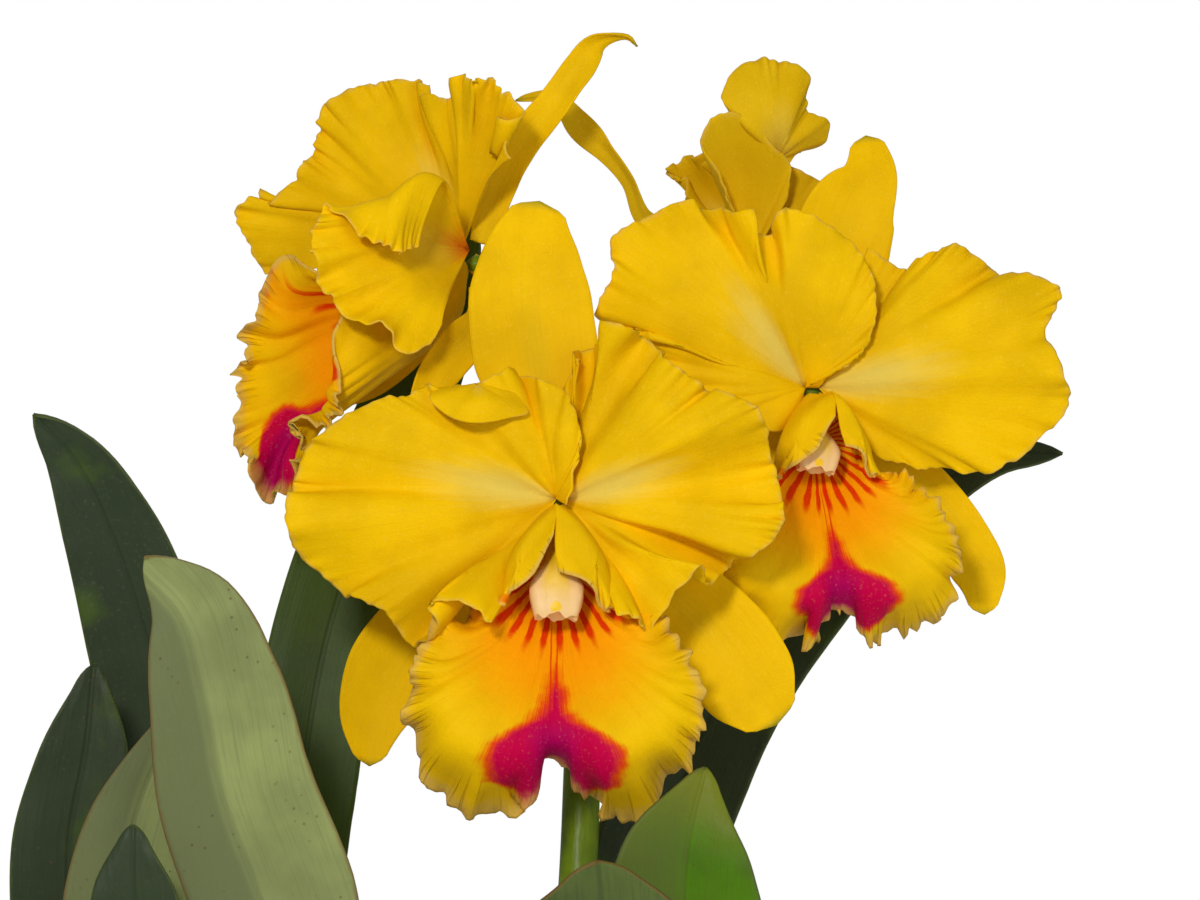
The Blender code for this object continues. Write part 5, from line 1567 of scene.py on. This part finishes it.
def bulb_wrap(line, index):
    """A torn papery sheath round the lower part of a pseudobulb."""
    draw = random.Random(WRAP_SEED + index)
    rows, columns = WRAP_MESH
    share = draw.uniform(0.35, 0.5)
    points, radius, side, face = tube_frame(line, BULB_RADII, np.linspace(0.03, share, rows))
    along = unit(np.gradient(points, axis=0))
    turn = np.linspace(0, 2 * math.pi * 0.97, columns) + draw.uniform(0, 6)
    tear = wander(WRAP_SEED + 10 + index, np.linspace(0, 60, columns), 4)
    grid = points[:, None] + (radius[:, None, None] + 0.7) * around_line(turn, side, face)
    s = np.linspace(0, 1, rows)[:, None, None]
    grid = grid + (s**3) * (along[:, None] * 5 * tear[None, :, None])
    flare = (s**2) * 0.5 * (1 + wander(WRAP_SEED + 40 + index, np.linspace(0, 60, columns), 7))[None, :, None]
    grid = grid + unit(grid - points[:, None]) * flare
    map_of = np.stack(np.meshgrid(np.linspace(0, 1, columns), np.linspace(0, 1, rows)), axis=-1)
    return sheet(grid, 0.35, {"drawn": map_of}, edge=0.8)


def bark_chip(draw, size, place, lean):
    """One rough chip of bark: a cube with uneven corners, bevelled edges and a torn end."""
    bpy.ops.object.select_all(action="DESELECT")
    bpy.ops.mesh.primitive_cube_add(size=1)
    chip = bpy.context.object
    bpy.ops.object.mode_set(mode="EDIT")
    bpy.ops.mesh.select_all(action="SELECT")
    bpy.ops.mesh.subdivide(number_cuts=1)
    bpy.ops.object.mode_set(mode="OBJECT")
    for vertex in chip.data.vertices:
        x, y, z = vertex.co
        shrink = 1 - 0.25 * (abs(x) > 0.4) * (abs(y) > 0.4) - 0.18 * (z > 0.4)
        uneven = (draw.uniform(0.82, 1.1) * shrink, draw.uniform(0.8, 1.15) * shrink, draw.uniform(0.8, 1.15))
        vertex.co = [value * whole * share for value, whole, share in zip((x, y, z), size, uneven)]
    edge = chip.modifiers.new("Worn edges", "BEVEL")
    edge.width = 0.45
    edge.segments = 1
    apply_all(chip)
    chip.location = place
    chip.rotation_euler = lean
    bpy.ops.object.transform_apply(location=True, rotation=True, scale=True)
    chip.scale = (MM, MM, MM)
    bpy.ops.object.transform_apply(location=True, rotation=True, scale=True)
    clear_maps(chip.data)
    return chip


class ORCHID_PT_panel(bpy.types.Panel):
    """Lists the orchid's pieces in the order they are made."""
    bl_idname = "ORCHID_PT_panel"
    bl_label = "Cattleya orchid"
    bl_space_type = "VIEW_3D"
    bl_region_type = "UI"
    bl_category = "Orchid"

    def draw(self, context):
        for step in STEPS:
            self.layout.operator(f"orchid.{step}")
        for group in GROUPS:
            for name in GROUPS[group].__annotations__:
                self.layout.prop(getattr(context.scene, group), name)


STEPS = ("stage", "petals", "lips", "columns", "leaves", "stem", "bulbs", "bark", "pot")
GROUPS = {
    "orchid_flower": FlowerLook,
    "orchid_leaf": LeafLook,
    "orchid_plant": PlantLook,
    "orchid_stage": StageLook,
}
OPERATORS = (
    ORCHID_OT_stage, ORCHID_OT_petals, ORCHID_OT_lips, ORCHID_OT_columns, ORCHID_OT_leaves, ORCHID_OT_stem,
    ORCHID_OT_bulbs, ORCHID_OT_bark, ORCHID_OT_pot)


def register():
    for kind in (*GROUPS.values(), *OPERATORS, ORCHID_PT_panel):
        bpy.utils.register_class(kind)
    for name, kind in GROUPS.items():
        setattr(bpy.types.Scene, name, bpy.props.PointerProperty(type=kind))


def unregister():
    for name in GROUPS:
        delattr(bpy.types.Scene, name)
    for kind in reversed((*GROUPS.values(), *OPERATORS, ORCHID_PT_panel)):
        bpy.utils.unregister_class(kind)


def main():
    register()
    for step in STEPS:
        getattr(bpy.ops.orchid, step)()
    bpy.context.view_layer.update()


if __name__ == "__main__":
    main()
